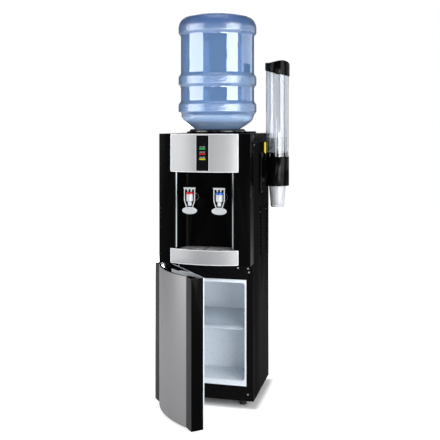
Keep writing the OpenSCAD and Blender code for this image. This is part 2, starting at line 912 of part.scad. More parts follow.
module door_recess(grow) {
    block([-half_w + recess_margin - grow, door_back_y - recess_d - grow,
        door_low + recess_margin - grow],
        [half_w - recess_margin + grow, door_back_y + cut, door_high - recess_margin + grow]);
}

module door_liner() {
    color("#e4e9ee") door_place() difference() {
        union() {
            block([-half_w, door_flange_y, door_low], [half_w, door_back_y, door_high]);
            difference() {
                door_recess(liner_t);
                block([-half_w, door_back_y - slip, door_low], [half_w, front_y, door_high]);
            }
        }
        door_recess(0);
    }
}

module door_foam() {
    t = shell_wall;
    color("#e8dcc0") door_place() difference() {
        slab(door_plan(t, door_flange_y), door_low + t, door_high - t);
        door_bosses();
        door_recess(liner_t);
    }
}

gasket_w = 12;
gasket_in = 8;

module door_gasket() {
    x = half_w - gasket_in;
    low = door_low + gasket_in + liner_t;
    high = door_high - gasket_in - liner_t;
    color("#cfd6da") door_place() difference() {
        block([-x, door_back_y, low], [x, front_y - fit, high]);
        block([-x + gasket_w, door_back_y - cut, low + gasket_w],
            [x - gasket_w, front_y + cut, high - gasket_w]);
    }
}

hinge_flange_t = 2;

module hinge_upper() {
    color("#9aa0a4") translate([pivot_x, pivot_y, 0]) {
        translate([0, 0, floor_z]) cylinder(h = hinge_flange_t, r = 1.2 * hinge_r);
        translate([0, 0, door_high - pin_depth + fit])
            cylinder(h = floor_z - door_high + pin_depth - fit, r = hinge_r);
    }
}

tongue_t = 2.6;
tongue_w = 22;

module hinge_lower() {
    top = door_low - fit;
    color("#9aa0a4") {
        block([-half_w, pivot_y - 2 * hinge_r, top - tongue_t],
            [-half_w + tongue_w, frame_in_y + tongue_w - frame_t, top]);
        block([-half_w, front_y, top - tongue_t],
            [-half_w + tongue_w, frame_in_y + tongue_w - frame_t, base_z]);
        translate([pivot_x, pivot_y, top - tongue_t])
            cylinder(h = tongue_t + pin_depth - fit, r = hinge_r);
    }
}

// Tanks and water tubes

tank_t = 1;
shelf_sheet_t = 2;
stub_r = 4.5;
stub_h = 10;
link_run = 20;
hot_leg_h = 8;
hot_leg_r = 3;
hot_low = shell_z + hot_leg_h;
tank_room = tank_top - hot_low - stub_h - link_run - 3 * shelf_sheet_t - jacket_t;
cold_share = cold_h / (cold_h + hot_h);
cold_long = tank_room * cold_share;
cold_low = tank_top - cold_long;
jacket_low = cold_low - jacket_t;
coil_r = 3;
coil_turns = 8;
coil_step = cold_long / (coil_turns + 2);
stub_low = jacket_low - 3 * shelf_sheet_t;
cold_out_back = 30;
cold_out_y = bottle_y - cold_out_back;
link_ahead = 35;
link_y = bottle_y + link_ahead;
cold_out = [tap_x, cold_out_y];
link = [hot_x, link_y];
hot_y = bottle_y + stub_h;
hot_long = tank_room - cold_long;
hot_top = hot_low + hot_long;
hot_jacket_t = 8;
hot_stub_y = hot_r + hot_jacket_t + stub_h / 2;
hot_out_drop = 15;
hot_out_z = hot_top - hot_out_drop;

module cold_tank() {
    color("#c0c4c8") {
        difference() {
            union() {
                translate([0, bottle_y, cold_low]) cylinder(h = cold_long, r = cold_r);
                translate([0, bottle_y, tank_top - shelf_sheet_t])
                    cylinder(h = shelf_sheet_t, r = cold_r + jacket_gap);
                for (p = [cold_out, link])
                    rod([p[0], p[1], stub_low], [p[0], p[1], cold_low + tank_t / 2], stub_r);
            }
            translate([0, bottle_y, cold_low + tank_t])
                cylinder(h = cold_long - 2 * tank_t, r = cold_r - tank_t);
            translate([0, bottle_y, tank_top - 3 * tank_t])
                cylinder(h = 4 * tank_t, r = probe_bore);
            for (p = [cold_out, link])
                rod([p[0], p[1], stub_low - cut], [p[0], p[1], cold_low + 2 * tank_t], stub_r / 2);
        }
        for (i = [1:coil_turns]) translate([0, bottle_y, cold_low + i * coil_step])
            rotate_extrude() translate([cold_r + coil_r, 0]) circle(r = coil_r, $fn = 24);
    }
}

module cold_tank_foam() {
    color("#f0e8d0") translate([0, bottle_y, 0]) difference() {
        translate([0, 0, jacket_low])
            cylinder(h = tank_top - shelf_sheet_t - jacket_low, r = jacket_r);
        translate([0, 0, cold_low]) cylinder(h = cold_long, r = cold_r + jacket_gap);
        translate([0, -bottle_y, 0]) for (p = [cold_out, link])
            rod([p[0], p[1], jacket_low - cut], [p[0], p[1], cold_low + cut], stub_r + slip);
    }
}

shelf_ahead = 74;
shelf_edge_y = bottle_y - shelf_ahead;

module tank_shelf() {
    top = jacket_low;
    color("#909498") difference() {
        union() {
            block([-in_x, shelf_edge_y, top - shelf_sheet_t], [in_x, in_back_y, top]);
            both_sides() block([in_x - shelf_sheet_t, shelf_edge_y, top - stub_h],
                [in_x, in_back_y, top]);
        }
        for (p = [cold_out, link])
            rod([p[0], p[1], top - shelf_sheet_t - cut], [p[0], p[1], top + cut], stub_r + slip);
    }
}

module hot_stubs(r) {
    for (run = [[-1, hot_out_z], [1, drain_z]])
        rod([hot_x, hot_y + run[0] * (hot_r - 2 * tank_t), run[1]],
            [hot_x, hot_y + run[0] * (hot_stub_y + (r < stub_r ? cut : 0)), run[1]], r);
    rod([link[0], link[1], hot_top - 2 * tank_t],
        [link[0], link[1], hot_top + stub_h + (r < stub_r ? cut : 0)], r);
}

module hot_tank() {
    color("#c4c8cc") {
        difference() {
            union() {
                translate([hot_x, hot_y, hot_low]) cylinder(h = hot_long, r = hot_r);
                hot_stubs(stub_r);
            }
            translate([hot_x, hot_y, hot_low + tank_t])
                cylinder(h = hot_long - 2 * tank_t, r = hot_r - tank_t);
            hot_stubs(stub_r / 2);
        }
        for (a = [30:120:270]) translate([hot_x, hot_y, shell_z])
            rotate([0, 0, a]) translate([hot_r / 2, 0, 0]) cylinder(h = hot_leg_h, r = hot_leg_r);
    }
}

module hot_tank_jacket() {
    color("#b0b4b8") difference() {
        translate([hot_x, hot_y, 0]) ring(hot_r, hot_r + hot_jacket_t, hot_low, hot_top);
        hot_stubs(stub_r + slip);
    }
}

tube_out_r = 5.5;
drop_run = 22.5;
turn_drop = 14;

module water_tubes() {
    drop_y = alcove_y + drop_run;
    turn_z = stub_low - turn_drop;
    color("#e4eef2") {
        pipe([[cold_out[0], cold_out[1], stub_low], [cold_out[0], cold_out[1], turn_z],
            [tap_x, drop_y, turn_z], [tap_x, drop_y, tap_z], [tap_x, tail_end, tap_z]], tube_out_r);
        pipe([[hot_x, hot_y - hot_stub_y, hot_out_z], [hot_x, drop_y, hot_out_z],
            [hot_x, drop_y, tap_z], [hot_x, tail_end, tap_z]], tube_out_r);
        pipe([[link[0], link[1], stub_low], [link[0], link[1], hot_top + stub_h]], tube_out_r);
        pipe([[hot_x, hot_y + hot_stub_y, drain_z], [hot_x, in_back_y - stub_h, drain_z]],
            tube_out_r);
    }
}

// Refrigeration

comp_x = -30;
comp_r = 50;
comp_h = 128;
comp_plate_t = 6;
comp_back = 8;
comp_y = in_back_y - comp_back - comp_r;
mount_h = 10;
mount_r = 8;
mount_pin_r = 3.9;
comp_low = base_z + base_t + mount_h;
dome = 26;
mount_x = 52;
mount_y = 40;
relay_w = 36;
relay_d = 16;
relay_h = 42;
port_y = [-12, 10];
port_rise = 30;

module mount_spots() {
    for (x = [-1, 1], y = [-1, 1])
        translate([comp_x + x * mount_x, comp_y + y * mount_y, 0]) children();
}

module compressor() {
    color("#1a1a1a") {
        translate([comp_x, comp_y, comp_low]) {
            rotate_extrude() polygon(concat(
                [[0, comp_plate_t / 2], [comp_r - dome, comp_plate_t / 2]],
                arc([comp_r - dome, comp_plate_t / 2 + dome], dome, -90, 0, 8),
                arc([comp_r - dome, comp_h - dome], dome, 0, 90, 8), [[0, comp_h]]));
            block([comp_r - relay_d / 4, -relay_w / 2, comp_h / 3],
                [comp_r + relay_d, relay_w / 2, comp_h / 3 + relay_h]);
        }
        difference() {
            translate([comp_x, comp_y, comp_low]) block([-mount_x - mount_r, -mount_y - mount_r, 0],
                [mount_x + mount_r, mount_y + mount_r, comp_plate_t]);
            mount_spots() translate([0, 0, comp_low - cut])
                cylinder(h = comp_plate_t + 2 * cut, r = mount_pin_r + slip);
        }
    }
}

module compressor_mounts() {
    color("#222222") mount_spots() translate([0, 0, base_z + base_t]) {
        cylinder(h = mount_h, r = mount_r);
        translate([0, 0, mount_h]) cylinder(h = comp_plate_t, r = mount_pin_r);
    }
}

module copper_pipes() {
    low = comp_low + comp_h;
    out_y = comp_y + port_y[0];
    in_y = comp_y + port_y[1];
    suction_z = bay_z - 4 * pipe_r;
    out_z = discharge_z + port_rise;
    color("#b87333") {
        pipe([[comp_x, in_y, low], [comp_x, in_y, suction_z], [suction_x, in_y, suction_z],
            [suction_x, suction_y, suction_z], [suction_x, suction_y, evap_z]], pipe_r);
        pipe([[comp_x, out_y, low], [comp_x, out_y, out_z], [coil_x, out_y, out_z],
            [coil_x, out_y, discharge_z], [coil_x, back_y - pipe_reach, discharge_z]], pipe_r);
    }
}

wire_t = 1.6;
wire_count = 11;
strap_w = 12;
pipe_reach = 9.5;

// Serpentine of the condenser's tube, from its lowest row to its highest
function serpentine() =
    [for (i = [0:coil_rows - 1])
        let (z = coil_low + i * coil_pitch, s = i % 2 == 0 ? 1 : -1)
        each [[s * coil_x, coil_y, z], [-s * coil_x, coil_y, z]]];

module condenser() {
    span = 2 * (coil_x - coil_pitch / 2);
    top = coil_low + (coil_rows - 0.5) * coil_pitch;
    color("#1e1e1e") {
        pipe(concat([[coil_x, back_y - pipe_reach, discharge_z], [coil_x, coil_y, discharge_z]],
            serpentine()), pipe_r);
        for (i = [0:wire_count - 1])
            translate([-span / 2 + i * span / (wire_count - 1), coil_y + pipe_r, 0])
                block([-wire_t / 2, -wire_t / 2, coil_low - coil_pitch / 2],
                    [wire_t / 2, wire_t / 2, top]);
        both_sides() for (i = [1, coil_rows - 2])
            block([coil_x / 2, back_y, coil_low + i * coil_pitch - pipe_r / 2],
                [coil_x / 2 + strap_w, coil_y, coil_low + i * coil_pitch + pipe_r / 2]);
    }
}

// Electrical pieces

board_x = 58;
board_w = 70;
board_h = 56;
board_rise = 40;
board_z = shell_z + board_rise;
board_gap = 8;
board_t = 1.6;
board_edge = 6;
board_pin_r = 3;
relay_size = [28, 26, 26];
coil_size = [16, 16, 20];
can_r = 3.2;
can_h = 14;

module control_board() {
    y = in_back_y - board_gap;
    face = y - board_t;
    e = board_edge;
    color("#2e6b3a") {
        block([board_x, face, board_z], [board_x + board_w, y, board_z + board_h]);
        for (x = [board_x + e, board_x + board_w - e], z = [board_z + e, board_z + board_h - e])
            rod([x, y, z], [x, in_back_y, z], board_pin_r);
        block([board_x + e, face - relay_size[1], board_z + e],
            [board_x + e + relay_size[0], face, board_z + e + relay_size[2]]);
        block([board_x + board_w - e - coil_size[0], face - coil_size[1], board_z + e],
            [board_x + board_w - e, face, board_z + e + coil_size[2]]);
        for (i = [0:2]) translate([board_x + board_w / 2 + 3 * i * can_r, 0, board_z + board_h - 2 * e])
            rod([0, face - can_h, 0], [0, face, 0], can_r);
    }
}

switch_flange = 2;
switch_deep = 18;
rocker_w = 14;
rocker_h = 19;
axle_r = 1.5;
axle_y = back_y + switch_flange / 2;

module switch_place(i) {
    translate([switch_x[i], 0, switch_z]) children();
}

module switch_housings() {
    f = switch_flange;
    color("#0e0e0e") for (i = [0, 1]) switch_place(i) {
        difference() {
            union() {
                block([-switch_w / 2, back_y - switch_deep, -switch_h / 2],
                    [switch_w / 2, back_y, switch_h / 2]);
                block([-switch_w / 2 - f, back_y, -switch_h / 2 - f],
                    [switch_w / 2 + f, back_y + f, switch_h / 2 + f]);
            }
            block([-rocker_w / 2 - fit, back_y - rocker_h / 3, -rocker_h / 2 - f],
                [rocker_w / 2 + fit, back_y + f + cut, rocker_h / 2 + f]);
        }
        rod([-switch_w / 2 + slip, axle_y, 0], [switch_w / 2 - slip, axle_y, 0], axle_r);
    }
}

rocker_tilt = 9;

module rocker() {
    translate([0, axle_y, 0]) rotate([rocker_tilt, 0, 0]) difference() {
        translate([-rocker_w / 2, 0, 0]) rotate([90, 0, 90]) linear_extrude(rocker_w)
            polygon([[-2 * axle_r, -rocker_h / 2], [2.6 * axle_r, -rocker_h / 2],
                [2 * axle_r, 0], [2.6 * axle_r, rocker_h / 2], [-2 * axle_r, rocker_h / 2],
                [-2.4 * axle_r, 0]]);
        rod([-rocker_w, 0, 0], [rocker_w, 0, 0], axle_r + pin_gap);
    }
}

module hot_switch() {
    color("#b01818") switch_place(0) rocker();
}

module cold_switch() {
    color("#1c7a30") switch_place(1) rocker();
}

gland_flange = 3;
gland_bore = 3.6;
gland_len = 16;
gland_in = 4;
barb_len = 14;

module rear_fittings() {
    color("#101010") difference() {
        union() {
            rod([gland_x, back_y + gland_len, gland_z], [gland_x, in_back_y - gland_in, gland_z], gland_r);
            rod([gland_x, back_y, gland_z], [gland_x, back_y + gland_flange, gland_z], 1.5 * gland_r);
        }
        rod([gland_x, back_y + gland_len + cut, gland_z],
            [gland_x, in_back_y - gland_in - cut, gland_z], gland_bore);
    }
    color("#dddddd") {
        rod([hot_x, in_back_y - stub_h, drain_z], [hot_x, back_y, drain_z], drain_r);
        rod([hot_x, back_y, drain_z], [hot_x, back_y + gland_flange, drain_z], 1.8 * drain_r);
        rod([hot_x, back_y + gland_flange, drain_z],
            [hot_x, back_y + gland_flange + barb_len, drain_z], drain_r);
    }
}

// Bottle

crown_share = 0.1083;
cap_band_share = 0.0388;
band_share = 0.0643;
slant_share = 0.0247;
long_groove_share = 0.3239;
short_groove_share = 0.1199;
crown_h = bottle_rise * crown_share;
cap_band = bottle_rise * cap_band_share;
band_h = bottle_rise * band_share;
slant = bottle_rise * slant_share;
long_groove = bottle_rise * long_groove_share;
short_groove = bottle_rise * short_groove_share;
dome_w = 42.4;
turn_r = 110;
turn_round = 24;
neck_rise = 8;
neck_low = throat_low + neck_rise;
neck_flare = 12;
neck_step = 6;
bottle_cap_h = 20;
bottle_cap_t = 2;
bottle_cap_r = neck_r + 1.5 * bottle_cap_t;
body_r = bottle_r - groove_h;

// A ring of the bottle: out along a slant, down its band and in again
function bottle_ring(top) = [[body_r, top], [bottle_r, top - slant],
    [bottle_r, top - slant - band_h], [body_r, top - 2 * slant - band_h]];

// Outer line of the bottle from its crown down to its mouth
function bottle_line() =
    let (top = cab_h + bottle_rise, band = top - crown_h, first = band - cap_band - slant)
    let (second = first - long_groove, third = second - band_h - 2 * slant - short_groove)
    let (last = third - band_h - 2 * slant, root = shoulder_z(neck_r + neck_flare))
    concat(
        [[0, top]],
        [for (a = [90:-10:0])
            [bottle_r - dome_w + dome_w * cos(a), band + crown_h * sin(a)]],
        [[bottle_r, band - cap_band], [body_r, first]],
        bottle_ring(second), bottle_ring(third),
        corner([body_r, last], [turn_r + slant, shoulder_z(turn_r + slant)],
            [seat_r, shoulder_z(seat_r)], turn_round),
        [[neck_r + neck_flare, root], [neck_r + neck_flare / 4, root - neck_step],
            [neck_r, root - 3 * neck_step], [neck_r, neck_low + bottle_cap_t]]);

module bottle() {
    line = bottle_line();
    color("#7ba2d4", 0.6) translate([0, bottle_y, 0]) rotate_extrude($fn = 96)
        polygon(concat(line, reversed(inset(line, bottle_t))));
}

cap_hole_r = probe_r + 2 * fit;

module bottle_cap() {
    color("#e8eef4") translate([0, bottle_y, 0]) {
        ring(cap_hole_r, bottle_cap_r, neck_low, neck_low + bottle_cap_t);
        ring(neck_r + slip, bottle_cap_r, neck_low + bottle_cap_t, neck_low + bottle_cap_h);
    }
}

// Cup holder on the right side

tube_x = half_w + tube_gap + tube_r;
tube_y = -8;
holder_drop = 177;
holder_z = cab_h - holder_drop;
holder_top = holder_z + cup_collar_h;
tube_t = 1.6;
holder_r = tube_r + tube_t / 2;
retainer_r = cup_r + fit;
plate_w = 68;
plate_below = 25.6;
plate_above = 13.3;
plate_low = holder_z - plate_below;
plate_high = holder_top + plate_above;
plate_deep = 3;
plate_rim = 8;
arm_h = 78;
arm_w = 50;
plug_r = 19;

module cup_bracket() {
    arm_low = holder_z + (cup_collar_h - arm_h) / 2;
    inside = tube_r - tube_t - slip;
    color(black) {
        difference() {
            union() {
                block([half_w, tube_y - plate_w / 2, plate_low],
                    [half_w + plate_deep, tube_y + plate_w / 2, plate_high]);
                for (side = [-1, 1]) translate([half_w, tube_y + side * (plate_w - plate_deep) / 2, 0])
                    block([0, -plate_deep / 2, plate_low], [plate_rim, plate_deep / 2, plate_high]);
                block([half_w, tube_y - arm_w / 2, arm_low],
                    [tube_x, tube_y + arm_w / 2, arm_low + arm_h]);
                translate([tube_x, tube_y, holder_z]) cylinder(h = cup_collar_h, r = holder_r);
                translate([tube_x, tube_y, holder_top]) cylinder(h = 5 * plate_deep, r = inside);
                rod([half_w + tube_gap + plug_r / 2, tube_y - arm_w / 2 - plate_deep,
                    holder_z + cup_collar_h / 2],
                    [half_w + tube_gap + plug_r / 2, tube_y, holder_z + cup_collar_h / 2], plug_r);
            }
            translate([tube_x, tube_y, holder_z - cut])
                cylinder(h = cup_collar_h + 5 * plate_deep + 2 * cut, r = retainer_r);
        }
    }
}

module cup_tube() {
    color("#e8ecf4", 0.35) translate([tube_x, tube_y, 0])
        ring(tube_r - tube_t, tube_r, holder_top, holder_top + tube_len);
}

cap_r = 41.5;
cap_h = 53;
cap_grip = 34;
cup_cap_low = holder_top + tube_len - cap_grip;
cap_width_shares = [-1.05, -0.5, 0, 0.5, 1.05];
cap_rim_shares = [0.4, 0.27, 0.17, 0.11, 0];
cap_span_shares = [1.05, 0.92, 0.8, 0.6, 0.3, 0, -0.33, -0.56, -1.05];
cap_crown_shares = [0.72, 0.87, 0.96, 1, 0.98, 0.93, 0.87, 0.85, 0.89];

module cup_cap() {
    seat = holder_top + tube_len + fit;
    color(black) translate([tube_x, tube_y, 0]) intersection() {
        difference() {
            translate([0, 0, cup_cap_low]) cylinder(h = 1.2 * cap_h, r = cap_r);
            translate([0, 0, cup_cap_low - cut])
                cylinder(h = seat - cup_cap_low + cut, r = tube_r + fit);
        }
        upright(-2 * cap_r, 2 * cap_r) polygon(concat(
            [for (i = [0:len(cap_rim_shares) - 1])
                [cap_r * cap_width_shares[i], cup_cap_low + cap_h * cap_rim_shares[i]]],
            [for (i = [0:len(cap_crown_shares) - 1])
                [cap_r * cap_span_shares[i], cup_cap_low + cap_h * cap_crown_shares[i]]]));
    }
}

cup_low_r = 22.2;
cup_wall = 0.6;
cup_pitch = 10.7;
cup_hang = 72;
cup_low = holder_z - cup_hang;
bead = 1;

module cup() {
    slope = (cup_r - bead - cup_low_r) / cup_h;
    rotate_extrude($fn = 64) polygon([[0, 0], [cup_low_r, 0], [cup_r - bead, cup_h - 2 * bead],
        [cup_r, cup_h - 2 * bead], [cup_r, cup_h], [cup_r - bead - cup_wall, cup_h],
        [cup_low_r - cup_wall + slope * cup_wall, 2 * cup_wall], [0, 2 * cup_wall]]);
}

module cup_stack() {
    color("#eef0f4", 0.6) for (i = [1:cup_count])
        translate([tube_x, tube_y, cup_low + i * cup_pitch]) cup();
}

module lowest_cup() {
    color("#eef0f4", 0.6) translate([tube_x, tube_y, cup_low]) cup();
}

module trim_fasteners() {
    color("#b8bcc0") screw_places() {
        rod([0, front_y, 0], [0, front_y + screw_head_t, 0], screw_head_r);
        rod([0, front_y, 0], [0, frame_in_y, 0], screw_r - slip);
    }
}

base_frame();
feet();
side_panel_left();
side_panel_right();
rear_panel();
rear_grille();
deck_plate();
front_shell();
lower_frame();
top_cover();
bottle_collar();
feed_probe();
silver_panel();
display_window();
indicator_lights();
hot_tap_body();
cold_tap_body();
hot_tap_lever();
cold_tap_lever();
hot_tap_ring();
cold_tap_ring();
tap_rosettes();
tap_nuts();
drip_tray_pan();
drip_tray_front();
drip_grille();
fridge_liner();
fridge_shelf();
fridge_foam();
evaporator();
door_shell();
door_panel();
door_liner();
door_foam();
door_gasket();
hinge_upper();
hinge_lower();
cold_tank();
cold_tank_foam();
tank_shelf();
hot_tank();
hot_tank_jacket();
water_tubes();
compressor();
compressor_mounts();
copper_pipes();
condenser();
control_board();
switch_housings();
hot_switch();
cold_switch();
rear_fittings();
bottle();
bottle_cap();
cup_bracket();
cup_tube();
cup_cap();
cup_stack();
lowest_cup();
trim_fasteners();
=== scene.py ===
import math

import bmesh
import bpy
import numpy as np
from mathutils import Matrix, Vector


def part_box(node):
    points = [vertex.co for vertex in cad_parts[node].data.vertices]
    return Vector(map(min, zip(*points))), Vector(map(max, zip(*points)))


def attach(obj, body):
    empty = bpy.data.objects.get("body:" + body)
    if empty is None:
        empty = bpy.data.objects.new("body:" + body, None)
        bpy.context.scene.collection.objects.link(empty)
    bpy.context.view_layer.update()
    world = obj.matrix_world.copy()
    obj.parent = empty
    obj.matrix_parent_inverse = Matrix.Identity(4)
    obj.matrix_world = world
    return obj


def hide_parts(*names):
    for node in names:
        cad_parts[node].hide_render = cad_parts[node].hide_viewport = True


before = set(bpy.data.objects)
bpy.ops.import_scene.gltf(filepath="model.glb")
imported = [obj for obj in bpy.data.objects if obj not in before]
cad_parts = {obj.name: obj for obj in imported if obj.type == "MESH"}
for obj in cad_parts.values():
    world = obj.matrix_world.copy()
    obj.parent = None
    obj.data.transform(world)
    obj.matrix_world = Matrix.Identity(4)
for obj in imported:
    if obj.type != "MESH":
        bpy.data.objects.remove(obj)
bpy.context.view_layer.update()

# Camera: in front and a little to the right, at chest height and level, as the photograph was
# taken. The lens is shifted down so that the whole cooler is in view and its edges stay upright.
camera_place, camera_turn = (0.6342, -2.5309, 0.9167), 13.93
camera_data = bpy.data.cameras.new("camera")
camera_data.sensor_width = 36
camera_data.lens = 61.35
camera_data.shift_y = -0.2134
camera = bpy.data.objects.new("camera", camera_data)
camera.location = camera_place
camera.rotation_euler = (math.radians(90), 0, math.radians(camera_turn))
bpy.context.scene.collection.objects.link(camera)
bpy.context.scene.camera = camera
bpy.context.scene.view_settings.view_transform = "Standard"

# Studio: a white sweep of paper under a faint glow. A tall and a low soft box on each side run
# upright reflections down the bottle and the black mouldings, cards by the camera light the
# front, a small lamp lights the fridge, and one box above and three behind outline the rest.


def add(holder, kind, sockets=None, **settings):
    """Adds a shader node: settings are its own properties, and sockets hold values or links."""
    node = holder.node_tree.nodes.new("ShaderNode" + kind)
    for key, value in settings.items():
        setattr(node, key, value)
    for key, value in (sockets or {}).items():
        if isinstance(value, bpy.types.NodeSocket):
            holder.node_tree.links.new(value, node.inputs[key])
        else:
            node.inputs[key].default_value = value
    return node


def linear(colour):
    """An sRGB hex colour as linear red, green, blue and alpha."""
    part = np.array([int(colour[i:i + 2], 16) for i in (1, 3, 5)]) / 255
    part = np.where(part <= 0.04045, part / 12.92, ((part + 0.055) / 1.055) ** 2.4)
    return (*part.tolist(), 1.0)


def bare(holder):
    """Switches a material or world to nodes, with none of the default ones."""
    holder.use_nodes = True
    holder.node_tree.nodes.clear()
    return holder


# The backdrop is white behind the cooler and through clear pieces, dim in reflections, where its
# rear is the brighter part, and a soft fill for matt surfaces.
white = (1, 1, 1, 1)
front_y, rear_y, front_glow, rear_glow, fill_glow = -0.4, 1.0, 0.03, 0.08, 0.2
world = bare(bpy.data.worlds.new("studio"))
bpy.context.scene.world = world
ray = add(world, "LightPath")
heading = add(world, "SeparateXYZ", {0: add(world, "TexCoord").outputs["Generated"]})
rear = add(world, "MapRange", {"Value": heading.outputs["Y"], "From Min": front_y,
                               "From Max": rear_y, "To Min": front_glow, "To Max": rear_glow})
mirrored = add(world, "Math", {0: ray.outputs["Is Glossy Ray"], 1: rear.outputs["Result"]},
               operation="MULTIPLY")
seen = add(world, "Math", {0: ray.outputs["Is Camera Ray"],
                           1: ray.outputs["Is Transmission Ray"]}, operation="MAXIMUM")
shown = add(world, "Math", {0: seen.outputs[0], 1: mirrored.outputs[0]}, operation="MAXIMUM")
fill = add(world, "Math", {0: ray.outputs["Is Diffuse Ray"], 1: fill_glow}, operation="MULTIPLY")
level = add(world, "Math", {0: shown.outputs[0], 1: fill.outputs[0]}, operation="MAXIMUM")
sky = add(world, "Background", {"Color": white, "Strength": level.outputs[0]})
add(world, "OutputWorld", {"Surface": sky.outputs[0]})


def soft_box(name, place, aim, width, height, power):
    """A rectangular lamp at a place, turned to face a point, with its power in watts."""
    lamp = bpy.data.lights.new(name, "AREA")
    lamp.shape, lamp.size, lamp.size_y, lamp.energy = "RECTANGLE", width, height, power
    stand = bpy.data.objects.new(name, lamp)
    stand.location = place
    stand.rotation_euler = (Vector(place) - Vector(aim)).to_track_quat("Z", "Y").to_euler()
    bpy.context.scene.collection.objects.link(stand)


on_bottle, on_head, on_taps, on_back = (0, 0, 1.1), (0, 0, 0.85), (0, 0, 0.7), (0, 0, 0.5)
on_fridge, on_shelf = (0, 0, 0.4), (0, 0.02, 0.1)
left_stand, right_stand, card_stand = (-1.64, -1.15), (1.73, -1.0), (1.35, -2.0)
soft_box("box_left", (*left_stand, 1.22), on_bottle, 1.9, 1.3, 32)
soft_box("box_right", (*right_stand, 1.24), on_bottle, 1.3, 1.34, 29)
soft_box("edge_right", (1.75, 1.05, 1.15), on_bottle, 2.2, 0.9, 5.5)
soft_box("card_front", (0.2, -3.0, 0.68), on_taps, 0.7, 0.6, 5)
soft_box("low_left", (*left_stand, 0.24), on_fridge, 1.9, 0.44, 11)
soft_box("low_right", (*right_stand, 0.265), on_fridge, 1.3, 0.47, 8)
soft_box("card_high", (*card_stand, 0.68), on_taps, 0.8, 0.4, 13)
soft_box("card_low", (*card_stand, 0.22), on_fridge, 0.8, 0.38, 9)
soft_box("fridge_glow", (0, -0.05, 0.398), on_shelf, 0.2, 0.06, 0.07)
soft_box("box_top", (0.1, -0.2, 2.9), on_head, 1.2, 1.2, 4)
soft_box("box_rear", (-0.6, 2.4, 2.8), on_head, 1.6, 1.6, 18)
soft_box("low_rear", (-1.0, 2.6, 0.5), on_back, 1.0, 0.6, 14)

mm = 0.001


def grid(points, round_u=False, round_v=False, ends=False):
    """Points on a grid of two parameters and the quads between neighbours. A surface that is
    round in a parameter joins its last points to its first, and ends draws the first and the
    last row together into a point."""
    points = np.asarray(points, float)
    if ends:
        closing = [np.broadcast_to(row.mean(0), row.shape)[None] for row in points[[0, -1]]]
        points = np.concatenate([closing[0], points, closing[1]])
    rows, columns = points.shape[:2]
    index = np.arange(rows * columns).reshape(rows, columns)
    if round_u:
        index = np.vstack([index, index[:1]])
    if round_v:
        index = np.hstack([index, index[:, :1]])
    quads = np.stack([index[:-1, :-1], index[1:, :-1], index[1:, 1:], index[:-1, 1:]], -1)
    return points.reshape(-1, 3), quads.reshape(-1, 4)


def made(name, *parts, sharp=40):
    """One object of several grids, given in millimetres, with its doubles merged and its faces
    turned outwards. It is smooth but for the edges sharper than an angle, and its wide faces
    stay flat."""
    first = np.cumsum([0] + [len(points) for points, _ in parts])
    points = np.concatenate([points for points, _ in parts]) * mm
    quads = np.concatenate([quads + start for (_, quads), start in zip(parts, first)])
    mesh = bpy.data.meshes.new(name)
    mesh.from_pydata(points.tolist(), [], quads.tolist())
    shape = bmesh.new()
    shape.from_mesh(mesh)
    bmesh.ops.remove_doubles(shape, verts=shape.verts, dist=0.002 * mm)
    bmesh.ops.recalc_face_normals(shape, faces=shape.faces)
    shape.to_mesh(mesh)
    shape.free()
    mesh.shade_smooth()
    mesh.set_sharp_from_angle(angle=math.radians(sharp))
    piece = bpy.data.objects.new(name, mesh)
    bpy.context.scene.collection.objects.link(piece)
    even = piece.modifiers.new("even_shading", "WEIGHTED_NORMAL")
    even.keep_sharp = True
    return piece


# The paper is drawn white, but it keeps its real shading under the cabinet and fades back to
# white around it: a quick step at the cabinet's edge, and the rest over the shadow's width.
paper_reach, footprint = 6000, (0.153, 0.138, 0)
edge_end, edge_glow = 0.027, 0.62
shadow_start, shadow_end, shadow_glow = 0.25, 0.9, 0.4
paper = bare(bpy.data.materials.new("seamless_paper"))
ray = add(paper, "LightPath")
plain = add(paper, "Math", {0: ray.outputs["Is Camera Ray"],
                            1: ray.outputs["Is Transmission Ray"]}, operation="MAXIMUM")
lit = add(paper, "BsdfDiffuse", {"Color": linear("#e6e6e6")})
away = add(paper, "VectorMath", {0: add(paper, "TexCoord").outputs["Object"]},
           operation="ABSOLUTE")
away = add(paper, "VectorMath", {0: away.outputs[0], 1: footprint}, operation="SUBTRACT")
away = add(paper, "VectorMath", {0: away.outputs[0], 1: (0, 0, 0)}, operation="MAXIMUM")
away = add(paper, "VectorMath", {0: away.outputs[0]}, operation="LENGTH")
near = add(paper, "MapRange", {"Value": away.outputs["Value"], "From Max": edge_end,
                               "To Max": edge_glow}, interpolation_type="SMOOTHSTEP")
far = add(paper, "MapRange", {"Value": away.outputs["Value"], "From Min": shadow_start,
                              "From Max": shadow_end, "To Max": shadow_glow},
          interpolation_type="SMOOTHSTEP")
fade = add(paper, "Math", {0: near.outputs[0], 1: far.outputs[0]}, operation="ADD")
look = add(paper, "Math", {0: plain.outputs[0], 1: fade.outputs[0]}, operation="MULTIPLY")
glow = add(paper, "Emission", {"Color": white, "Strength": look.outputs[0]})
both = add(paper, "AddShader", {0: lit.outputs[0], 1: glow.outputs[0]})
add(paper, "OutputMaterial", {"Surface": both.outputs[0]})
floor = made("floor", grid([[(x, y, 0) for x in (-paper_reach, paper_reach)]
                            for y in (-paper_reach, paper_reach)]))
floor.data.materials.append(paper)
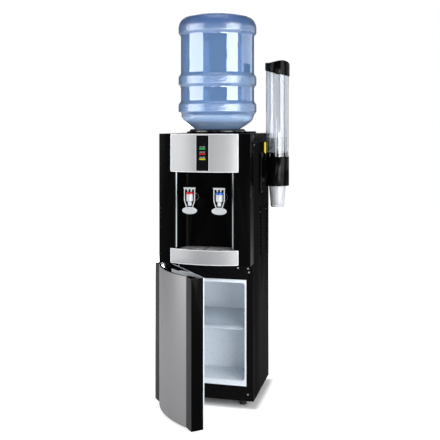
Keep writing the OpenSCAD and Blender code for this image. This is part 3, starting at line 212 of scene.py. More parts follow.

# Side, back and base sheets: folded cold-rolled steel under a dark powder coat, whose fine
# orange peel softens every reflection, with a shinier coat at the back that is also painted a
# shade lighter, painted light for the back that the lamps hardly reach. The inner plates are
# bare zinc plate, which is cloudy. Each louvre is a pressed slot with a raised lip.


def finish(name, colour, roughness, grain, depth, drift=0.05, **more):
    """A made surface. Its colour drifts by a share over a hand's breadth, and its roughness and
    height follow noise at the grain of its making. Grain and depth are in millimetres."""
    hands_per_metre, rough_share = 9.0, 0.15
    material = bare(bpy.data.materials.new(name))
    place = add(material, "TexCoord").outputs["Object"]
    broad = add(material, "TexNoise", {"Vector": place, "Scale": hands_per_metre, "Detail": 3.0})
    fine = add(material, "TexNoise", {"Vector": place, "Scale": 1 / (grain * mm), "Detail": 2.0})
    base = np.array(linear(colour)[:3])
    tint = add(material, "Mix", {0: broad.outputs["Fac"],
                                 6: (*(base * (1 - drift)).tolist(), 1),
                                 7: (*np.minimum(base * (1 + drift), 1).tolist(), 1)},
               data_type="RGBA")
    rough = add(material, "MapRange", {"Value": fine.outputs["Fac"],
                                       "To Min": roughness * (1 - rough_share),
                                       "To Max": roughness * (1 + rough_share)})
    bump = add(material, "Bump", {"Height": fine.outputs["Fac"], "Distance": depth * mm})
    shader = add(material, "BsdfPrincipled",
                 {"Base Color": tint.outputs[2], "Roughness": rough.outputs["Result"],
                  "Normal": bump.outputs["Normal"],
                  **{key.replace("_", " "): value for key, value in more.items()}})
    add(material, "OutputMaterial", {"Surface": shader.outputs[0]})
    return material


def put(piece, body, slot, material, *nodes):
    """Gives a finished piece its material and its body, and hides the construction solids that it
    stands for. Its slot is not used."""
    piece.data.materials.append(material)
    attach(piece, body)
    if nodes:
        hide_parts(*nodes)


def rounded(node, name, radius, body, slot, material):
    """Puts in a construction solid's own shape with its edges rounded to a radius in
    millimetres: its triangles are merged and its flat faces joined before the edges are cut."""
    flat_angle, corner_angle = math.radians(0.5), math.radians(32)
    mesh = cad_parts[node].data.copy()
    mesh.name = name
    mesh.materials.clear()
    shape = bmesh.new()
    shape.from_mesh(mesh)
    bmesh.ops.remove_doubles(shape, verts=shape.verts, dist=0.02 * mm)
    bmesh.ops.dissolve_limit(shape, angle_limit=flat_angle, verts=shape.verts, edges=shape.edges)
    shape.to_mesh(mesh)
    shape.free()
    mesh.shade_smooth()
    piece = bpy.data.objects.new(name, mesh)
    bpy.context.scene.collection.objects.link(piece)
    edge = piece.modifiers.new("rounded_edges", "BEVEL")
    edge.width, edge.segments = radius * mm, 3
    edge.limit_method, edge.angle_limit = "ANGLE", corner_angle
    edge.use_clamp_overlap = False
    edge.harden_normals = True
    put(piece, body, slot, material, node)


def dressed(material, *nodes):
    """Gives construction solids that stay as they are their material."""
    for node in nodes:
        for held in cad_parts[node].material_slots:
            held.material = material


powder_coat = finish("powder_coated_steel", "#0e0e0f", 0.45, 1.6, 0.03, Specular_IOR_Level=0.003)
# The back's coat is painted a shade lighter than the sides: painted light.
back_coat_painted_lighter = finish("satin_powder_coated_steel", "#151516", 0.42, 1.6, 0.03,
                   Specular_IOR_Level=0.3)
zinc_plate = finish("zinc_plated_steel", "#a9acae", 0.38, 3.0, 0.01, drift=0.12, Metallic=0.9)
fold_r = 0.35
for node, name, coat in (("side_panel_left", "side_sheet_left", powder_coat),
                         ("side_panel_right", "side_sheet_right", powder_coat),
                         ("rear_panel", "rear_sheet", back_coat_painted_lighter),
                         ("rear_grille", "machine_bay_cover", back_coat_painted_lighter),
                         ("base_frame", "base_tray", powder_coat)):
    rounded(node, name, fold_r, "cabinet", "dark_steel", coat)
dressed(zinc_plate, "deck_plate", "tank_shelf")

side_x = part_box("lower_frame")[1].x / mm
louvre_columns, louvre_rows, louvre_pitch, louvre_low = (-14, 87), 14, 12, 479
louvre_w, louvre_h = 28, 5
lip_over, lip_h, lip_rise, lip_t = 1.6, 3.2, 1.3, 0.5


def louvre_lip(y, z, out):
    """The lip over a louvre: across the slot's width a flat-topped hump, and down its height a
    quarter round that leans out over the slot."""
    s, t = np.meshgrid(np.linspace(-1, 1, 11), np.linspace(0, 1, 5), indexing="ij")
    rise = (1 - s ** 8) * np.sin(t * math.pi / 2) * lip_rise
    outer = np.stack([out * (side_x + rise), y + s * louvre_w / 2,
                      z + louvre_h + lip_over - t * lip_h], -1)
    inner = outer - [out * lip_t, 0, 0]
    return grid(np.concatenate([outer, inner[:, ::-1]], 1), round_v=True, ends=True)


# The lips are painted near black, darker than the coat, as painted shade for the dark slots under
# them, and they have no gloss.
louvre_painted_shade = finish("louvre_shadow_black", "#020202", 0.7, 1.6, 0.03, Specular_IOR_Level=0.0)
for out, name in ((-1, "louvre_lips_left"), (1, "louvre_lips_right")):
    lips = made(name, *[louvre_lip(y, louvre_low + row * louvre_pitch, out)
                        for y in louvre_columns for row in range(louvre_rows)])
    put(lips, "cabinet", "dark_steel", louvre_painted_shade)

# Feet: round mouldings of black rubber, with a wider sole and two shallow grooves. Rubber is
# matt and a little dusty.


def eased(points, reach, closed=False, steps=6):
    """A line of points with its corners eased: each gives way to a parabola that starts and
    ends at a set distance from it along its two sides, or near the middle of a shorter side."""
    half_share, tiny = 0.49, 1e-9
    points = np.asarray(points, float)
    back, on = np.roll(points, 1, 0) - points, np.roll(points, -1, 0) - points
    long_back, long_on = (np.linalg.norm(side, axis=1, keepdims=True) for side in (back, on))
    cut = np.minimum(np.reshape(reach, (-1, 1)) * np.ones_like(long_on),
                     np.minimum(long_back, long_on) * half_share)
    if not closed:
        cut[[0, -1]] = 0
    first = points + back / np.maximum(long_back, tiny) * cut
    last = points + on / np.maximum(long_on, tiny) * cut
    t = np.linspace(0, 1, steps)[None, :, None]
    line = (1 - t) ** 2 * first[:, None] + 2 * t * (1 - t) * points[:, None] \
        + t ** 2 * last[:, None]
    line = line.reshape(-1, points.shape[1])
    return line[np.r_[True, np.linalg.norm(np.diff(line, axis=0), axis=1) > 1e-6]]


def turned(line, place, axis=2, sides=64, closed=False):
    """Surface of revolution: each point (radius, height) of a line is carried round the axis
    0, 1 or 2 through a place. A closed line makes a ring."""
    angle = np.linspace(0, 2 * math.pi, sides, endpoint=False)
    line = np.asarray(line, float)
    disc = line[:, :1, None] * np.stack([np.cos(angle), np.sin(angle)], -1)[None]
    height = np.broadcast_to(line[:, 1:], disc.shape[:2])
    return grid(np.insert(disc, axis, height, axis=-1) + place, round_u=closed, round_v=True)


rubber = finish("black_rubber", "#1a1a1a", 0.75, 0.6, 0.05, drift=0.15)
foot_x, foot_y = 112, 108
foot_r, foot_h, foot_taper, sole_r, sole_h = 10.8, 20, 0.3, 12, 4.2
sole_cut, sole_rim, sole_step = 1, 1.2, 0.8
groove, groove_heights = 0.6, (8.6, 13.6)
grooves = [point for z in groove_heights
           for point in ((foot_r, z - groove), (foot_r - groove, z), (foot_r, z + groove))]
foot_line = eased([(0, 0), (sole_r - sole_cut, 0), (sole_r, sole_rim),
                   (sole_r, sole_h - sole_step), (foot_r, sole_h), *grooves,
                   (foot_r - foot_taper, foot_h), (0, foot_h)], reach=0.5)
feet = made("rubber_feet", *[turned(foot_line, (x, y, 0))
                             for x in (-foot_x, foot_x) for y in (-foot_y, foot_y)])
put(feet, "cabinet", "rubber", rubber, "feet")

# Front mouldings: the alcove with its head, the frame round the fridge and the top cover, all
# injection-moulded ABS. The alcove's tool was polished, so the soft boxes show in it as crisp
# streaks, and the frame and the cover are satin.
satin_black = finish("satin_black_abs", "#070708", 0.4, 0.8, 0.02, Specular_IOR_Level=0.06)
shell_black = finish("alcove_black_abs", "#040405", 0.26, 14, 0.004, Specular_IOR_Level=0.035)
shell_r, frame_r = 1.0, 0.5
rounded("front_shell", "alcove_moulding", shell_r, "cabinet", "black_plastic", shell_black)
rounded("lower_frame", "fridge_frame", frame_r, "cabinet", "black_plastic", satin_black)
rounded("top_cover", "top_moulding", shell_r, "cabinet", "black_plastic", satin_black)

# Screws: bright zinc-plated pan heads sunk flush into the fridge's frame, and one at the front
# edge of each side sheet. The cross recess shows as four dark wedges.
bright_zinc = finish("bright_zinc_screw", "#c4c8cc", 0.3, 0.5, 0.01, Metallic=0.85)
head_r, head_y, head_h, head_dome = 2.6, -138.2, 0.8, 0.25
recess_half_share, recess_long_share, recess_depth = 0.14, 0.62, 0.7
screw_places = ((134.4, 452), (137.7, 440), (101, 453), (134.4, 41.4))


def screw_head(x, z):
    """A head seen from the front: its radius runs out from the middle, and its face sinks where
    two crossed slots, narrow bands about the two axes, pass through it."""
    share, angle = np.meshgrid(np.linspace(0, 1, 9),
                               np.linspace(0, 2 * math.pi, 48, endpoint=False), indexing="ij")
    near, far = np.sort(np.abs([np.cos(angle), np.sin(angle)]), axis=0)
    slot = (share * near < recess_half_share) & (share * far < recess_long_share)
    sunk = np.where(slot, recess_depth, head_dome * share ** 4)
    face = np.stack([x + head_r * share * np.cos(angle), head_y + sunk,
                     z + head_r * share * np.sin(angle)], -1)
    back = face[-1:] + [0, head_h, 0]
    return grid(np.concatenate([face, back]), round_v=True, ends=True)


screws = made("frame_screws", *[screw_head(side * x, z) for side in (-1, 1)
                                for x, z in screw_places], sharp=25)
put(screws, "cabinet", "zinc_steel", bright_zinc, "trim_fasteners")
side_screw_y, side_screw_z, side_head_r, side_head_h = -129, 856, 2.3, 1.1
side_dome_r, side_dome_h, side_head_sunk = 1.6, 0.9, 0.5
side_head = eased([(0, side_head_h), (side_dome_r, side_dome_h), (side_head_r, 0),
                   (0, -side_head_sunk)], reach=0.4)
side_screws = made("side_screws", *[turned(side_head * [1, side],
                                           (side * side_x, side_screw_y, side_screw_z), axis=0)
                                    for side in (1, -1)])
put(side_screws, "cabinet", "zinc_steel", bright_zinc)

# Sticker: a plain yellow vinyl label, stuck high on the right side sheet near the back. The
# vinyl is given a faint glow, painted light that keeps it bright though the lamps reach the side
# only at a grazing angle.


def slab(outline, low, high, edge, axis=2):
    """A closed outline carried from low to high along an axis, with both rims rounded: over a
    quarter circle the outline is drawn in along its own normals while it rises."""
    outline = np.asarray(outline, float)
    run = np.roll(outline, -1, 0) - np.roll(outline, 1, 0)
    out = np.stack([run[:, 1], -run[:, 0]], -1) / np.linalg.norm(run, axis=1, keepdims=True)
    turn = outline[:, 0] * np.roll(outline[:, 1], -1) - outline[:, 1] * np.roll(outline[:, 0], -1)
    out *= np.sign(turn.sum())
    angle = np.linspace(0, math.pi / 2, 4)
    draw, rise = edge * (1 - np.sin(angle)), edge * (1 - np.cos(angle))
    draw, height = np.r_[draw, draw[::-1]], np.r_[low + rise, (high - rise)[::-1]]
    rows = outline[None] - out[None] * draw[:, None, None]
    return grid(np.insert(rows, axis, np.broadcast_to(height[:, None], rows.shape[:2]), axis=-1),
                round_v=True, ends=True)


def box_line(low, high, reach):
    """A rectangle between two corners, with its corners eased."""
    (a, b), (c, d) = low, high
    return eased([(a, b), (c, b), (c, d), (a, d)], reach, closed=True)


# The emission is painted light, not a lamp.
yellow_vinyl_painted_glow = finish("yellow_vinyl_painted_glow", "#ffe61a", 0.4, 2.0, 0.01,
                      Emission_Color=linear("#ffe61a"), Emission_Strength=0.3)
label_low, label_high, label_corner, label_t, label_edge = (51, 821), (96, 860), 3, 0.25, 0.08
sticker = made("blank_sticker", slab(box_line(label_low, label_high, label_corner), side_x,
                                     side_x + label_t, label_edge, axis=0))
put(sticker, "cabinet", "dark_steel", yellow_vinyl_painted_glow)

# Silver panel on the head: a bowed cover of ABS with metallic paint, framed by a pale bead that
# also runs round the black window; the bead's pale colour is a painted highlight where the
# cover's edges catch the light. Two plated strips stand below it at the sides of the alcove's
# mouth and mirror the studio's dark and light in narrow lines.
bow_chord, bow_rise, flat_y = 228, 22, -188
head_low, head_high = (corner.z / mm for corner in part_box("silver_panel"))
window_low, window_high = (corner.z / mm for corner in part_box("display_window"))
window_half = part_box("display_window")[1].x / mm


def bow_radius(chord=bow_chord):
    """Radius of the arc through a chord's ends and its risen middle."""
    return (chord ** 2 / 4 + bow_rise ** 2) / (2 * bow_rise)


def bow_y(x, chord=bow_chord, base=flat_y):
    """Depth of a bowed front at x, where the chord's ends lie at the base's depth."""
    radius = bow_radius(chord)
    return base - bow_rise + radius - np.sqrt(radius ** 2 - np.asarray(x) ** 2)


def bowed(half, low, high, thick, edge, proud=0, count=49, **bow):
    """A sheet that follows the bow: its rounded section, thickness by height, is carried from
    one end of the bow to the other."""
    section = box_line((-proud, low), (thick - proud, high), edge)
    x = np.linspace(-half, half, count)[:, None] * np.ones(len(section))
    y = bow_y(x, **bow) + section[None, :, 0]
    return grid(np.stack([x, y, np.broadcast_to(section[:, 1], x.shape)], -1), round_v=True,
                ends=True)


def spaced(line, step):
    """Points at even steps along a closed line."""
    loop = np.vstack([line, line[:1]])
    run = np.r_[0, np.cumsum(np.linalg.norm(np.diff(loop, axis=0), axis=1))]
    at = np.linspace(0, run[-1], int(run[-1] / step), endpoint=False)
    return np.stack([np.interp(at, run, axis) for axis in loop.T], -1)


def swept(path, normals, section, closed=False):
    """A section carried along a path: its first coordinate lies across the path and its second
    along the normal, which is first squared to the path."""
    path = np.asarray(path, float)
    run = np.roll(path, -1, 0) - np.roll(path, 1, 0) if closed else np.gradient(path, axis=0)
    run /= np.linalg.norm(run, axis=1, keepdims=True)
    normal = np.broadcast_to(np.asarray(normals, float), path.shape)
    normal = normal - (normal * run).sum(1, keepdims=True) * run
    normal /= np.linalg.norm(normal, axis=1, keepdims=True)
    across = np.cross(run, normal)
    section = np.asarray(section, float)
    return grid(path[:, None] + section[None, :, :1] * across[:, None]
                + section[None, :, 1:] * normal[:, None], round_u=closed, round_v=True,
                ends=not closed)


def oval(a, b, count=12):
    """An ellipse of two half axes."""
    angle = np.linspace(0, 2 * math.pi, count, endpoint=False)
    return np.stack([a * np.cos(angle), b * np.sin(angle)], -1)


def bead(low, high, width, rise, base=flat_y):
    """A half-round bead that runs round a rectangle on the bow, square to its surface."""
    corner, step = 3, 2.5
    line = spaced(box_line(low, high, corner), step)
    path = np.stack([line[:, 0], bow_y(line[:, 0], base=base), line[:, 1]], -1)
    slope = line[:, 0] / bow_radius()
    out = np.stack([slope, -np.sqrt(1 - slope ** 2), np.zeros(len(line))], -1)
    return swept(path, out, oval(width / 2, rise), closed=True)


silver_paint = finish("silver_metallic_paint", "#949597", 0.38, 0.4, 0.006, drift=0.03,
                      Metallic=0.35)
# The bead's pale colour is a painted highlight for the cover's edges.
highlight_bead = finish("painted_highlight_bead", "#d6d6d9", 0.3, 5.0, 0.002, drift=0.02, Metallic=0.1)
plated = finish("bright_plated_trim", "#5a5e60", 0.1, 5.0, 0.002, drift=0.02, Metallic=1.0)
cover_t, cover_edge = 2, 0.6
panel = made("silver_cover", bowed(bow_chord / 2, head_low, head_high, cover_t, cover_edge))
put(panel, "cabinet", "silver_plastic", silver_paint, "silver_panel")
bead_w, bead_rise, fine_w, fine_rise = 2.4, 0.9, 1.2, 0.5
window_gap, window_top_gap = 0.6, 0.4
half_bead = bead_w / 2
head_beads = made("head_beads",
                  bead((-bow_chord / 2 + half_bead, head_low + half_bead),
                       (bow_chord / 2 - half_bead, head_high - half_bead), bead_w, bead_rise),
                  bead((-window_half - window_gap, window_low - window_gap),
                       (window_half + window_gap, window_high + window_top_gap), fine_w,
                       fine_rise))
put(head_beads, "cabinet", "silver_plastic", highlight_bead)
trim_x, trim_y, trim_low, trim_half, trim_rise = 94.6, -186.0, 519, 3.2, 1.2
inward, forward = 0.5, -0.87
trims = []
for side in (-1, 1):
    low_end, high_end = ((side * trim_x, trim_y, z) for z in (trim_low, head_low))
    trims.append(swept(np.linspace(low_end, high_end, 6), (-side * inward, forward, 0),
                       oval(trim_half, trim_rise, count=24)))
put(made("mouth_trims", *trims), "cabinet", "silver_plastic", plated)

# Window and lamps: a strip of smoked acrylic, which mirrors like black glass, with three small
# moulded lenses that stand out through it, green, red and yellow from the top. A thin grey bar
# in two dashes is printed above each.
smoked_acrylic = finish("smoked_acrylic", "#0b0d0e", 0.06, 20, 0.004)
window_t, window_edge, window_proud = 2, 0.4, 0.35
window = made("window_strip", bowed(window_half, window_low, window_high, window_t, window_edge,
                                    proud=window_proud, count=13))
put(window, "cabinet", "window", smoked_acrylic, "display_window")
front_at = float(bow_y(0))
lamp_heights, lamp_half, lamp_tall, lamp_corner = (844, 827.4, 810.8), 10.2, 2.9, 2.4
lens_proud, lens_deep, lens_edge = 1.3, 1, 0.9
lamps = [("green", "#22803a"), ("red", "#981a18"), ("yellow", "#9a8a26")]
for (name, colour), z in zip(lamps, lamp_heights):
    lens = finish(f"{name}_lens", colour, 0.18, 1.2, 0.02, Emission_Color=linear(colour),
                  Emission_Strength=0.08)
    line = box_line((-lamp_half, z - lamp_tall), (lamp_half, z + lamp_tall), lamp_corner)
    lamp = made(f"lamp_{name}", slab(line, front_at - lens_proud, front_at + lens_deep,
                                     lens_edge, axis=1))
    put(lamp, "cabinet", "lamps", lens)
    # One solid holds all three lenses, so the top one stands for it.
    if name == "green":
        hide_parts("indicator_lights")
grey_print = finish("grey_print", "#7c8084", 0.5, 1.0, 0.003)
dash_low, dash_high, dash_front, dash_back = 4.8, 7.2, 0.5, 0.2
dash_corner, dash_edge, dash_spans = 0.3, 0.05, ((-9, -1.5), (0.5, 9))
dashes = [slab(box_line((start, z + dash_low), (end, z + dash_high), dash_corner),
               front_at - dash_front, front_at - dash_back, dash_edge, axis=1)
          for z in lamp_heights for start, end in dash_spans]
put(made("printed_bars", *dashes), "cabinet", "window", grey_print)

# Bottle seat: one deep black ABS moulding, a rounded ring above the cover and a cone that the
# bottle's shoulder rests in, with its throat and the white probe below. Its polish shows the
# soft boxes as small bright spots on the ring.
bottle_y = -10
cover_z, ring_z, ring_r = 892, 907, 98
cone_r, cone_z, cone_back_z = 79, 906.2, 902.4
throat_r, throat_out, throat_low, throat_z = 36, 39, 824.3, 876
# Each row holds a radius, a height and how far the corner is eased.
seat_line = np.array([(ring_r - 2.5, cover_z, 0.3), (ring_r, cover_z + 7.5, 7),
                      (ring_r - 6, ring_z, 5), (cone_r + 0.5, ring_z, 1),
                      (cone_r - 0.6, cone_z, 0.4), (throat_out, throat_z + 4.6, 1),
                      (throat_r, throat_z, 1), (throat_r, throat_low, 0.8),
                      (throat_out, throat_low, 0.8), (throat_out, throat_z - 2, 3),
                      (cone_r, cone_back_z, 3), (ring_r - 8, cone_back_z - 0.1, 2),
                      (ring_r - 5, cover_z + 6, 2), (ring_r - 5, cover_z, 0.3)])
seat_line = eased(seat_line[:, :2], seat_line[:, 2], closed=True)
collar = made("bottle_seat", turned(seat_line, (0, bottle_y, 0), sides=128, closed=True))
seat_black = finish("seat_black_abs", "#060607", 0.08, 14, 0.002, Coat_Weight=1.0)
put(collar, "cabinet", "black_plastic", seat_black, "bottle_collar")
white_abs = finish("white_abs", "#a8acb0", 0.2, 2.5, 0.01, drift=0.02, Coat_Weight=1.0,
                   Coat_Roughness=0.12)
dressed(white_abs, "feed_probe")

# Taps: glossy white ABS bodies in one piece with their nozzle, a red and a blue ring round a
# black plunger on top, and a black sleeve over the barrel that ends in a rosette on the wall,
# with a silver painted rim. A nut behind the wall holds each.
tap_x, tap_y, tap_z, wall_y, pin_z = 49.5, -182.5, 681, -116, 707
body_r, body_top, body_low, body_cone = 11.5, 695, 664, 3
bore_r, nozzle_r, nozzle_low, nozzle_top = 4, 6.6, 658, 670
plunger_r, plunger_low, plunger_top, barrel_r, tail_r = 3, body_top - 1, 709.3, 7.4, 4.5
barrel_start, barrel_end, tail_start, tail_end = tap_y + 6, wall_y + 12, wall_y + 10, wall_y + 15
pin_r, pin_half = 2, 6.8
ring_in, ring_out, ring_low, ring_high = 3.4, 13.1, 695.1, 702
sleeve_in, sleeve_r, sleeve_start, rose_face_r, rose_r = 7.7, 9, tap_y + 11.9, 11.2, 12.4
rose_t, rose_face_t, rose_rim_t, rim_proud, rim_in = 3.4, 2.9, 1, 0.1, 0.4
red_abs = finish("red_abs", "#a00808", 0.24, 2.5, 0.01)
blue_abs = finish("blue_abs", "#0a56ac", 0.24, 2.5, 0.01)
gloss_black = finish("polished_black_abs", "#050506", 0.14, 14, 0.004, Specular_IOR_Level=0.09)
body_line = eased([(0, body_low), (bore_r, body_low), (bore_r, nozzle_low),
                   (nozzle_r, nozzle_low), (nozzle_r, nozzle_top),
                   (body_r, nozzle_top + body_cone), (body_r, body_top), (0, body_top)],
                  reach=[0, 0.3, 0.5, 0.8, 1, 2, 0.8, 0])
plunger_line = eased([(0, plunger_low), (plunger_r, plunger_low), (plunger_r, plunger_top),
                      (0, plunger_top)], reach=0.8)
barrel_line = eased([(0, barrel_start), (barrel_r, barrel_start), (barrel_r, barrel_end),
                     (0, barrel_end)], reach=0.8)
tail_line = [(0, tail_start), (tail_r, tail_start), (tail_r, tail_end), (0, tail_end)]
pin_line = eased([(0, -pin_half), (pin_r, -pin_half), (pin_r, pin_half), (0, pin_half)],
                 reach=0.4)
ring_line = eased([(ring_in, ring_low), (ring_out, ring_low), (ring_out, ring_high),
                   (ring_in, ring_high)], reach=[0.2, 1.4, 1.4, 0.2], closed=True)
rose_line = eased([(sleeve_in, sleeve_start), (sleeve_r, sleeve_start),
                   (sleeve_r, wall_y - rose_t), (rose_face_r, wall_y - rose_face_t),
                   (rose_r, wall_y - rose_rim_t), (rose_r, wall_y), (sleeve_in, wall_y)],
                  reach=[0.2, 0.6, 0.8, 0.6, 0.6, 0.2, 0.2], closed=True)
for side, name, colour, slot in ((-1, "hot", red_abs, "red_plastic"),
                                 (1, "cold", blue_abs, "blue_plastic")):
    x = side * tap_x
    body = made(f"{name}_tap", turned(body_line, (x, tap_y, 0)),
                turned(barrel_line, (x, 0, tap_z), axis=1),
                turned(tail_line, (x, 0, tap_z), axis=1))
    put(body, "cabinet", "white_plastic", white_abs, f"{name}_tap_body")
    plunger = made(f"{name}_plunger", turned(plunger_line, (x, tap_y, 0), sides=32),
                   turned(pin_line, (x, tap_y, pin_z), axis=0, sides=24))
    put(plunger, "cabinet", "black_plastic", satin_black)
    ring = made(f"{name}_ring", turned(ring_line, (x, tap_y, 0), closed=True))
    put(ring, "cabinet", slot, colour, f"{name}_tap_ring")
roses = made("tap_roses", *[turned(rose_line, (x, 0, tap_z), axis=1, closed=True)
                            for x in (-tap_x, tap_x)])
put(roses, "cabinet", "black_plastic", gloss_black, "tap_rosettes")
rim_line = eased([(rose_face_r + rim_proud, wall_y - 2.7), (rose_r - rim_in, wall_y - 2.9),
                  (rose_r + rim_proud, wall_y - 1.9), (rose_r - rim_in, wall_y - 1.2)],
                 reach=0.3, closed=True)
rims = made("rose_rims", *[turned(rim_line, (x, 0, tap_z), axis=1, closed=True)
                           for x in (-tap_x, tap_x)])
put(rims, "cabinet", "silver_plastic", silver_paint)
dressed(white_abs, "tap_nuts")

# Tap levers: each is one moulding of the same white ABS that turns on a cross pin, a bar with
# two ears, a flat loop that hangs from it with two struts, and a domed paddle at the loop's
# foot that the cup pushes.
lever_face, plate_y = tap_y - 4, tap_y - 4.9
loop_half, loop_low, loop_top, loop_toe = 17.15, 647.7, 712, 8
loop_knee, loop_wire, loop_deep = 674, 1.65, 1.5
bar_low, bar_high, bar_foot, bar_half = 711, 717.5, 18.8, 20.5
bar_front, bar_back = 5.4, 1.1
strut_top, strut_foot, strut_out, strut_in = 714, 703.7, 7.7, 5.3
strut_half, strut_deep = 1.6, 1.4
ear_r, ear_x, ear_half, ear_root, ear_root_heights = 4.5, 5.25, 1.6, 5.3, (711.8, 705.2)
paddle_z, paddle_half, paddle_tall = 642, 25, 12
paddle_dome, paddle_rim, paddle_t, paddle_thin = 2.2, 1.6, 4.6, 1.4
ear_start, ear_end = -150, 88
around = np.radians(np.linspace(ear_start, ear_end, 18))
ear = [*zip(tap_y + ear_r * np.cos(around), pin_z + ear_r * np.sin(around)),
       *[(tap_y - ear_root, z) for z in ear_root_heights]]
for side, name in ((-1, "hot"), (1, "cold")):
    x = side * tap_x
    loop = eased([(-loop_half, loop_top), (-loop_half, loop_knee), (-loop_toe, loop_low),
                  (loop_toe, loop_low), (loop_half, loop_knee), (loop_half, loop_top)],
                 reach=[0, 5, 7, 7, 5, 0], steps=10)
    loop = np.insert(loop, 1, lever_face, axis=-1) + [x, 0, 0]
    parts = [swept(loop, (0, -1, 0), oval(loop_wire, loop_deep))]
    bar = eased([(x - bar_half, bar_high), (x - bar_foot, bar_low), (x + bar_foot, bar_low),
                 (x + bar_half, bar_high)], reach=1.5, closed=True)
    parts.append(slab(bar, tap_y - bar_front, tap_y - bar_back, edge=1.2, axis=1))
    for way in (-1, 1):
        strut = np.linspace((x + way * strut_out, lever_face, strut_top),
                            (x + way * strut_in, lever_face, strut_foot), 5)
        parts.append(swept(strut, (0, -1, 0), oval(strut_half, strut_deep)))
        ear_at = x + way * ear_x
        parts.append(slab(ear, ear_at - ear_half, ear_at + ear_half, edge=0.5, axis=0))
    share = np.sin(np.linspace(0, math.pi / 2, 15))[:, None]
    paddle = oval(paddle_half, paddle_tall, count=48)
    front = np.insert(paddle[None] * share[..., None], 1, 0, axis=-1)
    front[..., 1] = plate_y + paddle_dome * (1 - share ** 3) + paddle_rim * share ** 24
    back = front[::-1].copy()
    back[..., 1] = plate_y + paddle_t - paddle_thin * share[::-1] ** 8
    parts.append(grid(np.concatenate([front, back]) + [x, 0, paddle_z], round_v=True))
    put(made(f"{name}_lever_moulding", *parts), f"{name}_lever", "white_plastic", white_abs,
        f"{name}_tap_lever")

# Drip tray: a black ABS pan with a silver painted front framed like the head's cover, and a
# matt grey slotted grille that lifts out of it. A dark split line runs back through the
# grille's middle, and under each tap three slots show as black marks on the grille's top,
# painted shade for their dark insides.
tray_low, tray_high = (corner.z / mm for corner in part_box("drip_tray_front"))
tray_face, tray_t, tray_edge = flat_y - 0.3, 3.4, 1.0
tray_cover = made("tray_cover", bowed(bow_chord / 2, tray_low, tray_high, tray_t, tray_edge,
                                      base=tray_face))
put(tray_cover, "drip_tray", "silver_plastic", silver_paint, "drip_tray_front")
# The tray's bead is the same painted highlight.
tray_bead = made("tray_bead", bead((-bow_chord / 2 + half_bead, tray_low + half_bead),
                                   (bow_chord / 2 - half_bead, tray_high - half_bead), bead_w,
                                   bead_rise, base=tray_face))
put(tray_bead, "drip_tray", "silver_plastic", highlight_bead)
pan_r, grille_r = 0.6, 0.5
rounded("drip_tray_pan", "tray_pan", pan_r, "drip_tray", "black_plastic", satin_black)
grille_grey = finish("grey_abs_grille", "#b0b4b6", 0.42, 0.8, 0.02)
rounded("drip_grille", "tray_grille", grille_r, "grille", "grille_grey", grille_grey)
grille_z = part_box("drip_grille")[1].z / mm
mark_deep, mark_proud, mark_corner, mark_edge = 0.4, 0.15, 0.5, 0.1
split_half, split_front, split_back = 1.5, -200, -120
# The slot marks are painted shade, drawn on the grille rather than cut.
slot_shade_half, slot_shade_w, slot_shade_places = 9, 3, (-196, -186, -176)
outlines = [((-split_half, split_front), (split_half, split_back))]
outlines += [((x - slot_shade_half, y), (x + slot_shade_half, y + slot_shade_w))
             for x in (-tap_x, tap_x) for y in slot_shade_places]
marks = [slab(box_line(*corners, mark_corner), grille_z - mark_deep, grille_z + mark_proud,
              mark_edge) for corners in outlines]
put(made("grille_marks", *marks), "grille", "grille_grey", satin_black)

# Fridge liner: vacuum-formed high-impact polystyrene, cool white and softly shiny, with its
# guide ribs formed in, and a clear moulded shelf with a turned-down lip. Rigid foam, open and
# dull where it is cut, fills the space round it.
liner_white = finish("formed_polystyrene", "#d3dae2", 0.28, 6.0, 0.05, drift=0.03)
liner_r, shelf_r = 0.7, 1.0
rounded("fridge_liner", "formed_liner", liner_r, "cabinet", "white_plastic", liner_white)
clear_styrene = finish("clear_styrene", "#e4eef6", 0.08, 8.0, 0.02, drift=0.02,
                       Transmission_Weight=0.7, IOR=1.58)
rounded("fridge_shelf", "clear_shelf", shelf_r, "cabinet", "shelf", clear_styrene)
foam = finish("rigid_foam", "#e6dcbc", 0.85, 1.5, 0.3, drift=0.1)
dressed(foam, "fridge_foam")

# Door: a black moulded tray with a bowed steel front in grey silver paint, a white inner tray
# and a soft bellows seal. It is drawn shut and then swung open about its hinge pins, which
# stand in zinc-plated brackets.
pivot, swing = np.array([-145.0, -155.0, 0.0]), math.radians(-51)
door_low, door_high = (corner.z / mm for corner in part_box("door_shell"))


def opened(part):
    """Turns the shut door's points about the hinge pins."""
    points, quads = part
    turn = np.array([[math.cos(swing), -math.sin(swing), 0],
                     [math.sin(swing), math.cos(swing), 0], [0, 0, 1]])
    return (points - pivot) @ turn.T + pivot, quads


# The moulding is polished black. Its top edge mirrors what is pale above it, so it is drawn as
# bright metal, and the brow before the sheet's edge as dark grey. The points are turned back to
# the shut door, where the brow has one depth.
door_paint = finish("grey_silver_paint", "#828284", 0.36, 0.5, 0.008, drift=0.03, Metallic=0.4)
door_black = finish("door_black_abs", "#040405", 0.07, 14, 0.002, Specular_IOR_Level=0.02)
lid_start, lid_full, brow_start, brow_full = door_high - 1, door_high - 0.3, -184.2, -184.6
door_nodes = door_black.node_tree.nodes
on_door = door_nodes["Texture Coordinate"].outputs["Object"]
height = add(door_black, "SeparateXYZ", {0: on_door})
lid = add(door_black, "MapRange", {"Value": height.outputs["Z"], "From Min": lid_start * mm,
                                   "From Max": lid_full * mm})
shut = add(door_black, "VectorRotate", {"Vector": on_door, "Center": (pivot * mm).tolist(),
                                        "Angle": -swing})
depth = add(door_black, "SeparateXYZ", {0: shut.outputs[0]})
brow = add(door_black, "MapRange", {"Value": depth.outputs["Y"], "From Min": brow_start * mm,
                                    "From Max": brow_full * mm})
